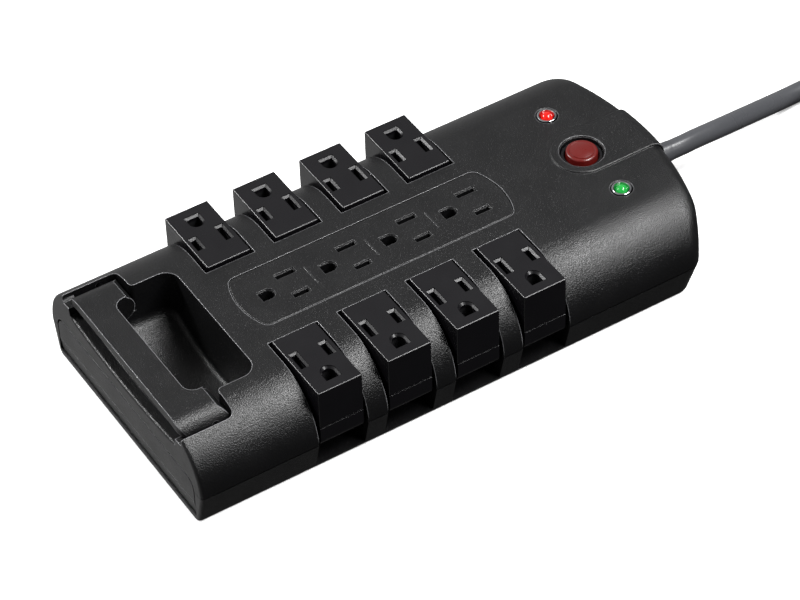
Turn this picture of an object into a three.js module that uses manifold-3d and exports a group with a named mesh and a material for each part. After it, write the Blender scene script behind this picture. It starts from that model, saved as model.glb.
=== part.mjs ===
// Pivoting-outlet surge protector: millimetres, +X towards the cord end, +Z up,
// origin on the standing surface under the middle of the housing.
import * as THREE from 'three';
import { mergeVertices } from 'three/addons/utils/BufferGeometryUtils.js';
import Module from 'manifold-3d';

const wasm = await Module();
wasm.setup();

// ---- Driving dimensions ----
const clearance = 0.3;

const housing = {
  left: -125, // flat handle end
  right: 124.2, // apex of the bowed cord end
  halfWidth: 60.6, // at the seam
  halfWidthBase: 56.7, // the lower shell drafts in towards the floor
  seamZ: 16,
  topZ: 41,
  shoulderRadius: 25,
  endBowRadius: 130, // plan radius of the cord end
  cornerRadius: 8,
  topEdgeRadius: 6.5, // along the cord end
  baseEdge: 1.5, // chamfer round the foot of the lower shell
  wall: 2.5,
  floor: 2.2,
  handleEndWall: 5,
};

const pod = {
  count: 4,
  firstCentreX: -61.19,
  pitch: 31.62,
  width: 19.8,
  faceZ: housing.topZ + 1.4,
  bottomZ: 12.9,
  innerY: 24.8,
  outerY: 59.56,
  pivotY: 40.7,
  pivotZ: 23.2, // also the parting line of the two pod shells
  footRadius: 4, // the lower outer edge, which sweeps past the floor
  wall: 1.6,
  facePlate: 2.4,
  trunnionRadius: 3,
  trunnionIntoRib: 0.5, // past the pocket wall, where the supply clip touches it
};

const pocket = {
  width: pod.width + 2.8,
  mouthInnerY: 23.8,
  wall: 2,
  trunnionClearance: clearance,
};

const outlet = {
  bladeSpacing: 12.7,
  groundOffset: 11.9,
  slotWidth: 2.2,
  neutralLength: 8.1,
  hotLength: 6.6,
  groundWidth: 5.2,
  groundHeight: 5.9,
  podSlotY: 39.45, // distance of the slot line from the middle of the housing
};

const panel = {
  leftApex: -70.9,
  rightApex: 52.1,
  halfWidth: 15.3,
  endBowRadius: 32,
  cornerRadius: 4,
  depth: 5,
  flange: 2,
  flangeThickness: 2.2,
  firstSlotX: -46.46,
  pitch: 28.5,
  count: 4,
};

const grip = {
  recessHalfWidth: 47.5,
  recessEndX: -101.2,
  recessFloorZ: housing.topZ - 13.8,
  wellHalfWidth: 34,
  wellEndX: -82.6,
  wellCornerRadius: 6.5,
  wellFloorZ: 10.5,
  wellSideZ: 20.5, // the scooped floor where it meets the side walls
  wellWall: 2,
  lipZ: housing.topZ - 10.2, // top of the end wall under the bar
  lipDip: 3,
  lipHalfWidth: 42,
  stepZ: housing.topZ - 6.4,
  barLeftX: -123.5,
  barRightX: -111.5,
  halfWidth: 45.5,
  legInnerY: 30,
  innerRadius: 5,
  earRadius: 6.4,
  thickness: 3.8,
  pivotX: -108.2,
  pivotZ: housing.topZ - 6.4,
  pinRadius: 1.5,
  pinInnerY: 33,
  pinOuterY: 49.2,
};

const endPanel = {
  halfWidth: 55,
  bottomZ: 2.2,
  topZ: 21.5,
  cornerRadius: 5,
  thickness: 2,
};

const button = {
  x: 92,
  capRadius: 6.7,
  wellMargin: 2.4, // from the cap to the wall of its well
  ringMargin: 3.9, // from the well to the edge of the raised ring
  ringRise: 0.8,
  topZ: housing.topZ + 2,
  skirtZ: housing.topZ - 6.5,
  stemRadius: 2.6,
  travel: 2.5,
  guideDepth: 1.2, // its rim lies this far below the top face
};
button.wellRadius = button.capRadius + button.wellMargin;
button.ringRadius = button.wellRadius + button.ringMargin;

const indicator = {
  x: 93,
  y: 27,
  holeRadius: 4.5,
  ringRadius: 4.2,
  lensRadius: 2.4,
  lensTopZ: housing.topZ + 1.2,
  depth: 5, // of the ring, below the top face
  lensDepth: 8,
};

const lead = {
  z: 19.7,
  radius: 4.25,
  reliefEndX: housing.right + 12.8,
};
lead.reliefRadius = lead.radius + 2.35;
lead.restZ = lead.radius + 0.1; // of its centre line, where it lies on the floor

const coil = {
  x: lead.reliefEndX + 126,
  y: -48,
  outerRadius: 66.6,
  innerRadius: 24,
  height: 17.5,
};
coil.tailZ = coil.height + lead.radius + 0.35; // centre line of the turn that lies on top

const plug = {
  y: -6,
  taperX: coil.x - 16.7,
  bodyX: coil.x + 5,
  endX: coil.x + 35,
  halfWidth: 12.5,
  halfHeight: 12,
  edge: 5,
  bladeRise: 4.5, // the blades' line above the middle of the body
  bladeWidth: 6.35,
  bladeThickness: 1.52,
  bladeLength: 17.5,
  bladeRoot: 7,
  pinRadius: 2.4,
  pinLength: 20.5,
};
plug.z = coil.height + plug.halfHeight + 0.5; // it lies on the coil

const screw = {
  leftX: -112,
  rightX: 104,
  leftY: 43,
  rightY: 45,
  bossRadius: 4.6,
  headRadius: 3.5,
  shankRadius: 1.5,
  headLowZ: 4.4,
  headHighZ: 7.2,
  tipZ: 23.5,
  recessHalf: 2,
  recessHalfWidth: 0.45,
  recessDepth: 1.4,
};

const board = {
  left: 53,
  right: 80,
  halfWidth: 42,
  z: 9,
  thickness: 1.6,
  postX: 6,
  postY: 5,
  postRadius: 3,
  pegRadius: 1.2,
};

const breaker = { back: 11, front: 15, halfWidth: 9, bottomZ: 5, topZ: 26 };
const contactFloorZ = 19;
const fixedSocket = { halfWidth: 14, lowZ: 17, endGap: 4 };
const busBar = { left: -74, right: 50, width: 7, thickness: 1, z: 9, pitch: 10, tabHeight: 5, tabHalf: 2 };
const varistors = { x: 66, ys: [-30, -19, -8], radius: 9, halfThickness: 2.4, legSpacing: 7.5 };
const choke = { x: 66, y: 9, outer: 10, inner: 5, height: 9, edge: 1.5 };
const fuse = { x: 66, y: 27, radius: 2.6, halfLength: 8, legSpacing: 13 };
const keyholes = { xs: [-66, 60], headRadius: 4.6, neckRadius: 2.2, length: 11 };
const far = 200; // past every edge, for cutting planes

// ---- Outlines ----
function arc(cx, cy, radius, from, to, steps) {
  const points = [];
  for (let i = 0; i <= steps; i += 1) {
    const angle = THREE.MathUtils.degToRad(from + ((to - from) * i) / steps);
    points.push([cx + radius * Math.cos(angle), cy + radius * Math.sin(angle)]);
  }
  return points;
}

// A rectangle with a radius at each corner, in the order right-top, left-top, left-bottom, right-bottom.
function roundedRectangle(left, bottom, right, top, radii, steps = 4) {
  const [rt, lt, lb, rb] = Array.isArray(radii) ? radii : [radii, radii, radii, radii];
  const corner = (x, y, signX, signY, radius, from) =>
    radius > 0 ? arc(x - signX * radius, y - signY * radius, radius, from, from + 90, steps) : [[x, y]];
  return [
    ...corner(right, top, 1, 1, rt, 0),
    ...corner(left, top, -1, 1, lt, 90),
    ...corner(left, bottom, -1, -1, lb, 180),
    ...corner(right, bottom, 1, -1, rb, 270),
  ];
}

// The corner fillet and half of a bowed end: from the straight side round to the apex at y = 0.
function bowedEnd(apexX, halfWidth, bowRadius, cornerRadius, bowSteps, cornerSteps) {
  const centreX = apexX - bowRadius;
  const filletY = halfWidth - cornerRadius;
  const filletX = centreX + Math.sqrt((bowRadius - cornerRadius) ** 2 - filletY ** 2);
  const turn = THREE.MathUtils.radToDeg(Math.atan2(filletY, filletX - centreX));
  return [
    ...arc(filletX, filletY, cornerRadius, 90, turn, cornerSteps),
    ...arc(centreX, 0, bowRadius, turn, 0, bowSteps).slice(1),
  ];
}

const mirrorY = (points) => points.map(([x, y]) => [x, -y]).reverse();
const mirrorX = (points) => points.map(([x, y]) => [-x, y]).reverse();

// ---- Solids ----
function toSolid(geometry) {
  geometry.deleteAttribute('normal');
  geometry.deleteAttribute('uv');
  const merged = mergeVertices(geometry, 1e-4);
  const index = merged.getIndex().array;
  const faces = [];
  for (let i = 0; i < index.length; i += 3) {
    const [a, b, c] = [index[i], index[i + 1], index[i + 2]];
    if (a !== b && b !== c && c !== a) {
      faces.push(a, b, c);
    }
  }
  const mesh = new wasm.Mesh({
    numProp: 3,
    vertProperties: new Float32Array(merged.getAttribute('position').array),
    triVerts: new Uint32Array(faces),
  });
  return new wasm.Manifold(mesh);
}

function extrusion(points, depth) {
  const shape = new THREE.Shape(points.map(([x, y]) => new THREE.Vector2(x, y)));
  return new THREE.ExtrudeGeometry(shape, { depth, bevelEnabled: false, steps: 1 });
}

// Outline in X and Y, standing from one height to another.
function plate(points, lowZ, highZ) {
  const geometry = extrusion(points, highZ - lowZ);
  geometry.translate(0, 0, lowZ);
  return toSolid(geometry);
}

// Outline in Y and Z, running along X.
function beam(points, lowX, highX) {
  const geometry = extrusion(points, highX - lowX);
  geometry.applyMatrix4(new THREE.Matrix4().set(0, 0, 1, lowX, 1, 0, 0, 0, 0, 1, 0, 0, 0, 0, 0, 1));
  return toSolid(geometry);
}

function block(lowX, highX, lowY, highY, lowZ, highZ) {
  const geometry = new THREE.BoxGeometry(highX - lowX, highY - lowY, highZ - lowZ);
  geometry.translate((lowX + highX) / 2, (lowY + highY) / 2, (lowZ + highZ) / 2);
  return toSolid(geometry);
}

// Profile of [radius, height] pairs turned about an axis through (x, y, z).
function turned(profile, segments, [x, y, z] = [0, 0, 0], axis = 'z') {
  const geometry = new THREE.LatheGeometry(profile.map(([r, h]) => new THREE.Vector2(r, h)), segments);
  if (axis === 'z') {
    geometry.rotateX(Math.PI / 2);
  }
  if (axis === 'x') {
    geometry.rotateZ(-Math.PI / 2);
  }
  geometry.translate(x, y, z);
  return toSolid(geometry);
}

function rod(radius, low, high, [x, y, z], axis, segments = 16) {
  const profile = [[0, low], [radius, low], [radius, high], [0, high]];
  return turned(profile, segments, [x, y, z], axis);
}

const union = (solids) => solids.reduce((whole, solid) => whole.add(solid));
const cutAll = (solid, cutters) => cutters.reduce((left, cutter) => left.subtract(cutter), solid);

const group = new THREE.Group();

function place(name, solid, color, roughness, metalness = 0) {
  const { vertProperties, triVerts } = solid.getMesh();
  const geometry = new THREE.BufferGeometry();
  geometry.setAttribute('position', new THREE.BufferAttribute(vertProperties, 3));
  geometry.setIndex(new THREE.BufferAttribute(triVerts, 1));
  geometry.computeVertexNormals();
  const mesh = new THREE.Mesh(geometry, new THREE.MeshStandardMaterial({ color, roughness, metalness }));
  mesh.name = name;
  group.add(mesh);
}

const finish = {
  housing: ['#2b2b2d', 0.6, 0],
  pod: ['#1b1a1c', 0.35, 0],
  insulator: ['#26252a', 0.5, 0],
  brass: ['#c2a35a', 0.35, 1],
  steel: ['#b9bcc0', 0.3, 1],
  jacket: ['#2a2b2d', 0.55, 0],
};

// ---- Housing envelope ----
const shoulderSteps = 7;

// The envelope from the floor to the top face, moved in by inset; rise lifts the top face and cord end.
function envelope(inset = 0, rise = 0) {
  const half = housing.halfWidth - inset;
  const radius = housing.shoulderRadius - inset;
  const shoulderY = housing.halfWidth - housing.shoulderRadius;
  const shoulderZ = housing.topZ - housing.shoulderRadius;
  const low = inset > 0 ? housing.floor : 0;
  const lean = (housing.halfWidth - housing.halfWidthBase) / housing.seamZ;
  const lowHalf = half - lean * (housing.seamZ - low);
  const shoulder = arc(shoulderY, shoulderZ, radius, 0, 90, shoulderSteps);
  const edge = inset > 0 ? 0 : housing.baseEdge;
  const foot = [[lowHalf - edge, low], [lowHalf + lean * edge, low + edge]];
  const side = [...foot, [half, housing.seamZ], ...shoulder];
  const lifted = side.map(([y, z]) => [y, z > housing.topZ - inset - 0.01 ? z + rise : z]);
  const section = beam([...lifted, ...mirrorX(lifted)], housing.left - 20, housing.right + 20);

  const left = housing.left + (inset > 0 ? housing.handleEndWall : 0);
  const right = housing.right + rise - inset;
  const bow = housing.endBowRadius + rise - inset;
  const end = bowedEnd(right, half, bow, Math.max(housing.cornerRadius - inset, 1), 9, 3);
  const plan = plate([[left, half], ...end, ...mirrorY([[left, half], ...end])], -10, housing.topZ + 10);

  const top = housing.topZ + rise - inset;
  const edgeRadius = housing.topEdgeRadius;
  const cap = [
    [0, low],
    [bow - lean * (housing.seamZ - low) - edge, low],
    [bow - lean * (housing.seamZ - low - edge), low + edge],
    [bow, housing.seamZ],
    ...arc(bow - edgeRadius, top - edgeRadius, edgeRadius, 0, 90, 4),
    [0, top],
  ];
  const bowed = turned(cap, 108, [right - bow, 0, 0]);
  return section.intersect(plan).intersect(bowed.add(block(left - 1, 60, -half - 1, half + 1, low, top)));
}

const outside = envelope();
const inside = envelope(housing.wall);

// ---- Pockets for the pivoting pods ----
const podSides = [['front', -1], ['back', 1]];
const pods = podSides.flatMap(([side, sign]) =>
  Array.from({ length: pod.count }, (unused, i) => ({
    name: `${side}_${i + 1}`,
    sign,
    x: pod.firstCentreX + i * pod.pitch,
  })),
);

// Furthest that the rounded foot of a pod reaches from its pivot.
const footOut = pod.outerY - pod.pivotY - pod.footRadius;
const footDown = pod.pivotZ - pod.bottomZ - pod.footRadius;
const footReach = Math.hypot(footOut, footDown) + pod.footRadius;
const pocketRadius = footReach + 2 * clearance;

// Y and Z outline of the space that a pod turns in, grown by a wall.
function pocketOutline(sign, grow) {
  const radius = pocketRadius + grow;
  const outline = [
    [pocket.mouthInnerY - grow, housing.topZ + 20],
    [pocket.mouthInnerY - grow, housing.topZ - 3],
    ...arc(pod.pivotY, pod.pivotZ, radius, 180, 270, 5),
    [housing.halfWidth + 20, pod.pivotZ - radius],
    [housing.halfWidth + 20, housing.topZ + 20],
  ];
  return outline.map(([y, z]) => [sign * y, z]);
}

function pocketSpace({ x, sign }, grow = 0) {
  const half = pocket.width / 2 + grow;
  return beam(pocketOutline(sign, grow), x - half, x + half);
}

const trunnionReach = pocket.width / 2 + pocket.wall + pod.trunnionIntoRib;

// The bearing slots in a pocket's two side walls, open downwards to the seam.
function bearingSlots({ x, sign }) {
  const radius = pod.trunnionRadius + pocket.trunnionClearance;
  const reach = trunnionReach + 2 * clearance;
  const y = sign * pod.pivotY;
  const round = rod(radius, -reach, reach, [x, y, pod.pivotZ], 'x', 12);
  return round.add(block(x - reach, x + reach, y - radius, y + radius, housing.seamZ - 1, pod.pivotZ));
}

// Keepers on the lower shell that close a pocket's bearing slots from below.
function keepers({ x, sign }) {
  const y = sign * pod.pivotY;
  const half = pod.trunnionRadius;
  const top = pod.pivotZ - pod.trunnionRadius - clearance;
  const inner = pocket.width / 2 + 0.1;
  const outer = pocket.width / 2 + pocket.wall - 0.1;
  const low = housing.seamZ - 3;
  return [-1, 1].map((end) => {
    const [a, b] = end < 0 ? [x - outer, x - inner] : [x + inner, x + outer];
    return block(a, b, y - half, y + half, low, top);
  });
}

// ---- Grip: recess, finger well and end wall ----
function wellSpace(grow = 0) {
  const left = housing.left + housing.handleEndWall - grow;
  const right = grip.wellEndX + grow;
  const half = grip.wellHalfWidth + grow;
  const radius = grip.wellCornerRadius + grow;
  const outline = plate(roundedRectangle(left, -half, right, half, [radius, 2, 2, radius], 5), 0, 60);
  const rise = grip.wellSideZ - grip.wellFloorZ;
  const scoop = (grip.wellHalfWidth ** 2 + rise ** 2) / (2 * rise);
  const turn = THREE.MathUtils.radToDeg(Math.asin(half / (scoop + grow)));
  const floor = arc(0, grip.wellFloorZ + scoop, scoop + grow, 270 - turn, 270 + turn, 14);
  return outline.intersect(beam([...floor, [half, 60], [-half, 60]], left, right));
}

function recessSpace(grow = 0) {
  const half = grip.recessHalfWidth + grow;
  const left = housing.left + (grow > 0 ? 0 : housing.handleEndWall);
  return block(left, grip.recessEndX + grow, -half, half, grip.recessFloorZ - grow, housing.topZ + 10);
}

// The gap over the end wall: dished in the middle, stepped up beside the ends of the bar.
function lipGap() {
  const half = grip.lipHalfWidth;
  const bow = (half ** 2 + grip.lipDip ** 2) / (2 * grip.lipDip);
  const turn = THREE.MathUtils.radToDeg(Math.asin(half / bow));
  const dish = arc(0, grip.lipZ - grip.lipDip + bow, bow, 270 - turn, 270 + turn, 10);
  const top = housing.topZ + 10;
  const side = [[half, grip.stepZ], [grip.recessHalfWidth, grip.stepZ], [grip.recessHalfWidth, top]];
  const mirrored = side.map(([y, z]) => [-y, z]).reverse();
  const low = housing.left - 5;
  return beam([...dish, ...side, ...mirrored], low, housing.left + housing.handleEndWall + 1);
}

// ---- Outlet openings ----
// A D-shaped ground hole about (0, 0): round towards +Y, flat towards -Y.
function groundOutline(extra = 0) {
  const radius = outlet.groundWidth / 2 + extra;
  const top = outlet.groundHeight / 2 + extra;
  return [...arc(0, top - radius, radius, 0, 180, 6), [-radius, -top], [radius, -top]];
}

function slotOutline(length, extra = 0) {
  const half = outlet.slotWidth / 2 + extra;
  const reach = length / 2 + extra;
  return [[half, -reach], [half, reach], [-half, reach], [-half, -reach]];
}

// The three openings of one outlet; quarterTurns about Z puts the slots along Y (even) or X (odd).
function outletOpenings(x, y, quarterTurns, lowZ, highZ, extra = 0) {
  const spots = [
    [slotOutline(outlet.neutralLength, extra), -outlet.bladeSpacing / 2, 0],
    [slotOutline(outlet.hotLength, extra), outlet.bladeSpacing / 2, 0],
    [groundOutline(extra), 0, -outlet.groundOffset],
  ];
  const turn = (quarterTurns * Math.PI) / 2;
  const [cos, sin] = [Math.round(Math.cos(turn)), Math.round(Math.sin(turn))];
  return spots.map(([points, dx, dy]) => {
    const moved = points.map(([px, py]) => {
      const [u, v] = [px + dx, py + dy];
      return [x + cos * u - sin * v, y + sin * u + cos * v];
    });
    return plate(moved, lowZ, highZ);
  });
}

const fixedOutlets = Array.from({ length: panel.count }, (unused, i) => panel.firstSlotX + i * panel.pitch);

function panelOutline(grow = 0) {
  const half = panel.halfWidth + grow;
  const bow = panel.endBowRadius + grow;
  const corner = panel.cornerRadius + grow;
  const right = bowedEnd(panel.rightApex + grow, half, bow, corner, 6, 3);
  const left = mirrorX(bowedEnd(-panel.leftApex + grow, half, bow, corner, 6, 3));
  const upper = [...left.slice(1), ...right];
  return [...upper, ...mirrorY(upper).slice(1)];
}

// ---- Shells ----
const bosses = [
  [screw.leftX, -screw.leftY],
  [screw.leftX, screw.leftY],
  [screw.rightX, -screw.rightY],
  [screw.rightX, screw.rightY],
];

function endPanelOutline(shrink = 0) {
  const half = endPanel.halfWidth - shrink;
  const { cornerRadius } = endPanel;
  const [low, high] = [endPanel.bottomZ + shrink, endPanel.topZ - shrink];
  return roundedRectangle(-half, low, half, high, [cornerRadius, cornerRadius, 1, 1], 3);
}

const endPanelRecess = beam(
  endPanelOutline(),
  housing.left - 5,
  housing.left + endPanel.thickness + clearance,
);
const reliefHole = rod(
  lead.reliefRadius + clearance,
  housing.right - 14,
  housing.right + 10,
  [0, 0, lead.z],
  'x',
  20,
);

function raisedTab() {
  const half = button.ringRadius;
  const low = housing.topZ - 11;
  const high = housing.topZ + 10;
  const circle = rod(half, low, high, [button.x, 0, 0], 'z', 28);
  const reach = housing.right + 10;
  const band = block(button.x, reach, -half, half, low, high);
  const lower = block(housing.right - 12, reach, -half, half, housing.seamZ + 8, high);
  return envelope(0, button.ringRise).intersect(union([circle, band, lower]));
}

function upperHousing() {
  const top = housing.topZ;
  const seam = housing.seamZ + clearance / 2;
  const aboveSeam = block(-far, far, -far, far, seam, top + 5);
  const shell = outside.add(raisedTab()).subtract(inside).intersect(aboveSeam);
  const pocketWalls = union(pods.map((each) => pocketSpace(each, pocket.wall))).intersect(aboveSeam);
  const gripWalls = wellSpace(grip.wellWall).add(recessSpace(grip.wellWall));
  const posts = union(
    bosses.map(([x, y]) => {
      const high = x < 0 ? grip.recessFloorZ : top - 1;
      return rod(screw.bossRadius - 0.6, seam, high, [x, y, 0], 'z');
    }),
  );
  const walls = union([pocketWalls, gripWalls, posts]).intersect(outside);
  const throughTop = [top - 11, top + 10];
  const led = [-1, 1].map((s) =>
    rod(indicator.holeRadius, ...throughTop, [indicator.x, s * indicator.y, 0], 'z', 20),
  );
  const pins = [-1, 1].map((s) => {
    const [a, b] = [grip.recessHalfWidth - 1, grip.pinOuterY + clearance].map((y) => s * y);
    const centre = [grip.pivotX, 0, grip.pivotZ];
    return rod(grip.pinRadius + 0.2, Math.min(a, b), Math.max(a, b), centre, 'y', 12);
  });
  const pilots = bosses.map(([x, y]) =>
    rod(screw.shankRadius + 0.2, seam - 1, screw.tipZ + 0.5, [x, y, 0], 'z', 12),
  );
  return cutAll(shell.add(walls), [
    ...pods.map((each) => pocketSpace(each)),
    ...pods.map(bearingSlots),
    wellSpace(),
    recessSpace(),
    lipGap(),
    plate(panelOutline(clearance), top - housing.wall - 1, top + 5),
    rod(button.wellRadius, ...throughTop, [button.x, 0, 0], 'z', 28),
    ...led,
    ...pins,
    ...pilots,
    endPanelRecess,
    reliefHole,
  ]);
}

function keyhole(x) {
  const { headRadius, neckRadius, length } = keyholes;
  const high = housing.floor + 1;
  const slot = roundedRectangle(x, -neckRadius, x + length, neckRadius, [neckRadius, 0, 0, neckRadius], 3);
  return rod(headRadius, -1, high, [x, 0, 0], 'z', 18).add(plate(slot, -1, high));
}

function lowerHousing() {
  const seam = housing.seamZ - clearance / 2;
  const belowSeam = block(-far, far, -far, far, -5, seam);
  const shell = outside.subtract(inside).intersect(belowSeam);
  const clipped = outside.intersect(belowSeam);
  const pocketWalls = union(pods.map((each) => pocketSpace(each, pocket.wall))).intersect(clipped);
  const posts = union(bosses.map(([x, y]) => rod(screw.bossRadius, 0.5, seam, [x, y, 0], 'z')));
  const boardPosts = boardPostSpots().flatMap(([x, y]) => [
    rod(board.postRadius, 1, board.z - clearance, [x, y, 0], 'z', 12),
    rod(board.pegRadius, 1, board.z + board.thickness + 1.5, [x, y, 0], 'z', 10),
  ]);
  const body = union([shell, pocketWalls, posts, ...boardPosts]);
  const holes = bosses.flatMap(([x, y]) => [
    rod(screw.headRadius + 0.4, -1, screw.headHighZ + clearance, [x, y, 0], 'z', 18),
    rod(screw.shankRadius + 0.5, -1, seam + 1, [x, y, 0], 'z', 12),
  ]);
  const cut = cutAll(body, [
    ...pods.map((each) => pocketSpace(each)),
    wellSpace(grip.wellWall + clearance),
    ...holes,
    ...keyholes.xs.map(keyhole),
    endPanelRecess,
    reliefHole,
  ]);
  return union([cut, ...pods.flatMap(keepers)]);
}

function boardPostSpots() {
  const xs = [board.left + board.postX, board.right - board.postX];
  const y = board.halfWidth - board.postY;
  return xs.flatMap((x) => [[x, -y], [x, y]]);
}

// ---- Grip bar ----
// The housing's section from the seam up, moved in by inset, running along X.
function crown(inset) {
  const shoulderY = housing.halfWidth - housing.shoulderRadius;
  const shoulderZ = housing.topZ - housing.shoulderRadius;
  const side = arc(shoulderY, shoulderZ, housing.shoulderRadius - inset, 0, 90, shoulderSteps);
  return beam([...side, ...mirrorX(side)], housing.left - 20, 0);
}

function gripBar() {
  const half = grip.halfWidth;
  const inner = grip.legInnerY;
  const corner = grip.innerRadius;
  const inside = [
    [grip.pivotX, -inner],
    ...arc(grip.barRightX + corner, -inner + corner, corner, 270, 180, 4),
    ...arc(grip.barRightX + corner, inner - corner, corner, 180, 90, 4),
    [grip.pivotX, inner],
  ];
  const outer = [
    [grip.pivotX, half],
    ...arc(grip.barLeftX + corner, half - corner, corner, 90, 180, 4),
    ...arc(grip.barLeftX + corner, -half + corner, corner, 180, 270, 4),
    [grip.pivotX, -half],
  ];
  const bar = plate([...inside, ...outer], grip.recessFloorZ, housing.topZ + 5);
  const ears = [-1, 1].map((s) => {
    const [low, high] = [s * inner, s * half].sort((a, b) => a - b);
    return rod(grip.earRadius, low, high, [grip.pivotX, 0, grip.pivotZ], 'y', 24).intersect(outside);
  });
  const bore = rod(grip.pinRadius + clearance, -half - 5, half + 5, [grip.pivotX, 0, grip.pivotZ], 'y', 16);
  return union([bar.intersect(outside).subtract(crown(grip.thickness)), ...ears]).subtract(bore);
}

// ---- Pods ----
// Y and Z outline of a pod, its walls moved in by inset.
function podOutline(sign, inset, lowZ, highZ) {
  const foot = pod.bottomZ + inset;
  const low = Math.max(foot, lowZ);
  const radius = Math.max(pod.footRadius - inset, 0.5);
  const [inner, outer] = [pod.innerY + inset, pod.outerY - inset];
  const rounded = [[inner, foot], ...arc(outer - radius, foot + radius, radius, 270, 360, 4)];
  const square = [[inner, low], [outer, low]];
  const outline = [...(low > foot ? square : rounded), [outer, highZ], [inner, highZ]];
  return outline.map(([y, z]) => [sign * y, z]);
}

function podBody(each, inset, lowZ, highZ) {
  const half = pod.width / 2 - inset;
  return beam(podOutline(each.sign, inset, lowZ, highZ), each.x - half, each.x + half);
}

// A pod's slots face away from the middle of the strip on both sides.
function podOpenings({ x, sign }, lowZ, highZ, extra = 0) {
  return outletOpenings(x, sign * outlet.podSlotY, sign < 0 ? 0 : 2, lowZ, highZ, extra);
}

function podCap(each) {
  const low = pod.pivotZ + clearance / 2;
  const hollow = podBody(each, pod.wall, 0, pod.faceZ - pod.facePlate);
  const shell = podBody(each, 0, low, pod.faceZ).subtract(hollow);
  const notch = rod(
    pod.trunnionRadius + clearance,
    -pod.width,
    pod.width,
    [each.x, each.sign * pod.pivotY, pod.pivotZ],
    'x',
    12,
  );
  return cutAll(shell, [notch, ...podOpenings(each, pod.pivotZ, pod.faceZ + 1)]);
}

function podBase(each) {
  const high = pod.pivotZ - clearance / 2;
  const shell = podBody(each, 0, 0, high).subtract(podBody(each, pod.wall, 0, high + 1));
  const reach = trunnionReach;
  const start = pod.width / 2 - pod.wall;
  const centre = [each.x, each.sign * pod.pivotY, pod.pivotZ];
  return union([
    shell,
    rod(pod.trunnionRadius, -reach, -start, centre, 'x', 12),
    rod(pod.trunnionRadius, start, reach, centre, 'x', 12),
  ]);
}

function podContacts(each) {
  const inset = pod.wall + clearance;
  const body = podBody(each, inset, pod.bottomZ + 2 * pod.wall, pod.faceZ - pod.facePlate - clearance);
  return cutAll(body, podOpenings(each, contactFloorZ, pod.faceZ, clearance));
}

// ---- Fixed outlets ----
function outletPanel() {
  const low = housing.topZ - panel.depth;
  const face = plate(panelOutline(), low, housing.topZ);
  const flange = plate(panelOutline(panel.flange), low, low + panel.flangeThickness);
  const openings = fixedOutlets.flatMap((x) => outletOpenings(x, 0, 3, low - 1, housing.topZ + 1));
  return cutAll(face.add(flange), openings);
}

function fixedContacts() {
  const high = housing.topZ - panel.depth - clearance;
  const left = panel.leftApex + fixedSocket.endGap;
  const right = panel.rightApex - fixedSocket.endGap;
  const { halfWidth, lowZ } = fixedSocket;
  const body = block(left, right, -halfWidth, halfWidth, lowZ, high);
  const openings = fixedOutlets.flatMap((x) => outletOpenings(x, 0, 3, contactFloorZ, high + 1, clearance));
  return cutAll(body, openings);
}

function bus(y) {
  const { left, right, width, thickness, z, tabHeight, tabHalf } = busBar;
  const bar = block(left, right, y - width / 2, y + width / 2, z, z + thickness);
  const tabs = fixedOutlets.map((x) =>
    block(x - tabHalf, x + tabHalf, y - thickness / 2, y + thickness / 2, z, z + tabHeight),
  );
  return union([bar, ...tabs]);
}

// ---- Button, indicators and what is behind them ----
function powerButton() {
  const { capRadius, topZ, skirtZ, stemRadius } = button;
  const rim = topZ - 1.6;
  const foot = breaker.topZ - 2;
  const profile = [
    [0, foot],
    [stemRadius, foot],
    [stemRadius, skirtZ],
    [capRadius, skirtZ],
    [capRadius, rim],
    [capRadius * 0.93, rim + 0.7],
    [capRadius * 0.72, rim + 1.2],
    [capRadius * 0.4, topZ - 0.1],
    [0, topZ],
  ];
  return turned(profile, 32, [button.x, 0, 0]);
}

function breakerBody() {
  const { back, front, halfWidth, bottomZ, topZ } = breaker;
  const body = block(button.x - back, button.x + front, -halfWidth, halfWidth, bottomZ, topZ);
  const wellZ = topZ - 2 - button.travel - 1;
  return body.subtract(rod(button.stemRadius + clearance, wellZ, topZ + 1, [button.x, 0, 0], 'z', 18));
}

function buttonGuide() {
  const inner = button.capRadius + clearance;
  const outer = button.wellRadius - clearance;
  const under = housing.topZ - housing.wall - clearance;
  const profile = [
    [inner, under - 4],
    [outer + 3, under - 4],
    [outer + 3, under],
    [outer, under],
    [outer, housing.topZ - button.guideDepth],
    [inner, housing.topZ - button.guideDepth],
    [inner, under - 4],
  ];
  return turned(profile, 28, [button.x, 0, 0]);
}

function indicatorRing(y) {
  const { ringRadius, lensRadius, depth } = indicator;
  const inner = lensRadius + clearance;
  const top = housing.topZ;
  const profile = [
    [inner, top - depth],
    [ringRadius, top - depth],
    [ringRadius, top + 0.3],
    [inner + 0.5, top + 0.3],
    [inner, top - 0.5],
    [inner, top - depth],
  ];
  return turned(profile, 24, [indicator.x, y, 0]);
}

function indicatorLens(y) {
  const { lensRadius, lensTopZ, lensDepth } = indicator;
  const low = housing.topZ - lensDepth;
  const shoulder = lensTopZ - lensRadius * 0.8;
  const dome = arc(0, 0, 1, 0, 90, 4).map(([c, s]) => [lensRadius * c, shoulder + (lensTopZ - shoulder) * s]);
  dome[dome.length - 1][0] = 0;
  return turned([[0, low], [lensRadius, low], ...dome], 18, [indicator.x, y, 0]);
}

// ---- Circuit board and its protection parts ----
const boardTop = board.z + board.thickness;

function circuitBoard() {
  const body = block(board.left, board.right, -board.halfWidth, board.halfWidth, board.z, boardTop);
  return cutAll(body, boardPostSpots().map(([x, y]) => rod(1.5, 0, 20, [x, y, 0], 'z', 12)));
}

// Two wire legs under a part, from the board up to a height inside the part.
function legs(x, y, spacing, topZ) {
  return [-1, 1].map((s) => {
    const middle = x + (s * spacing) / 2;
    return block(middle - 0.5, middle + 0.5, y - 0.4, y + 0.4, boardTop + clearance, topZ);
  });
}

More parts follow.
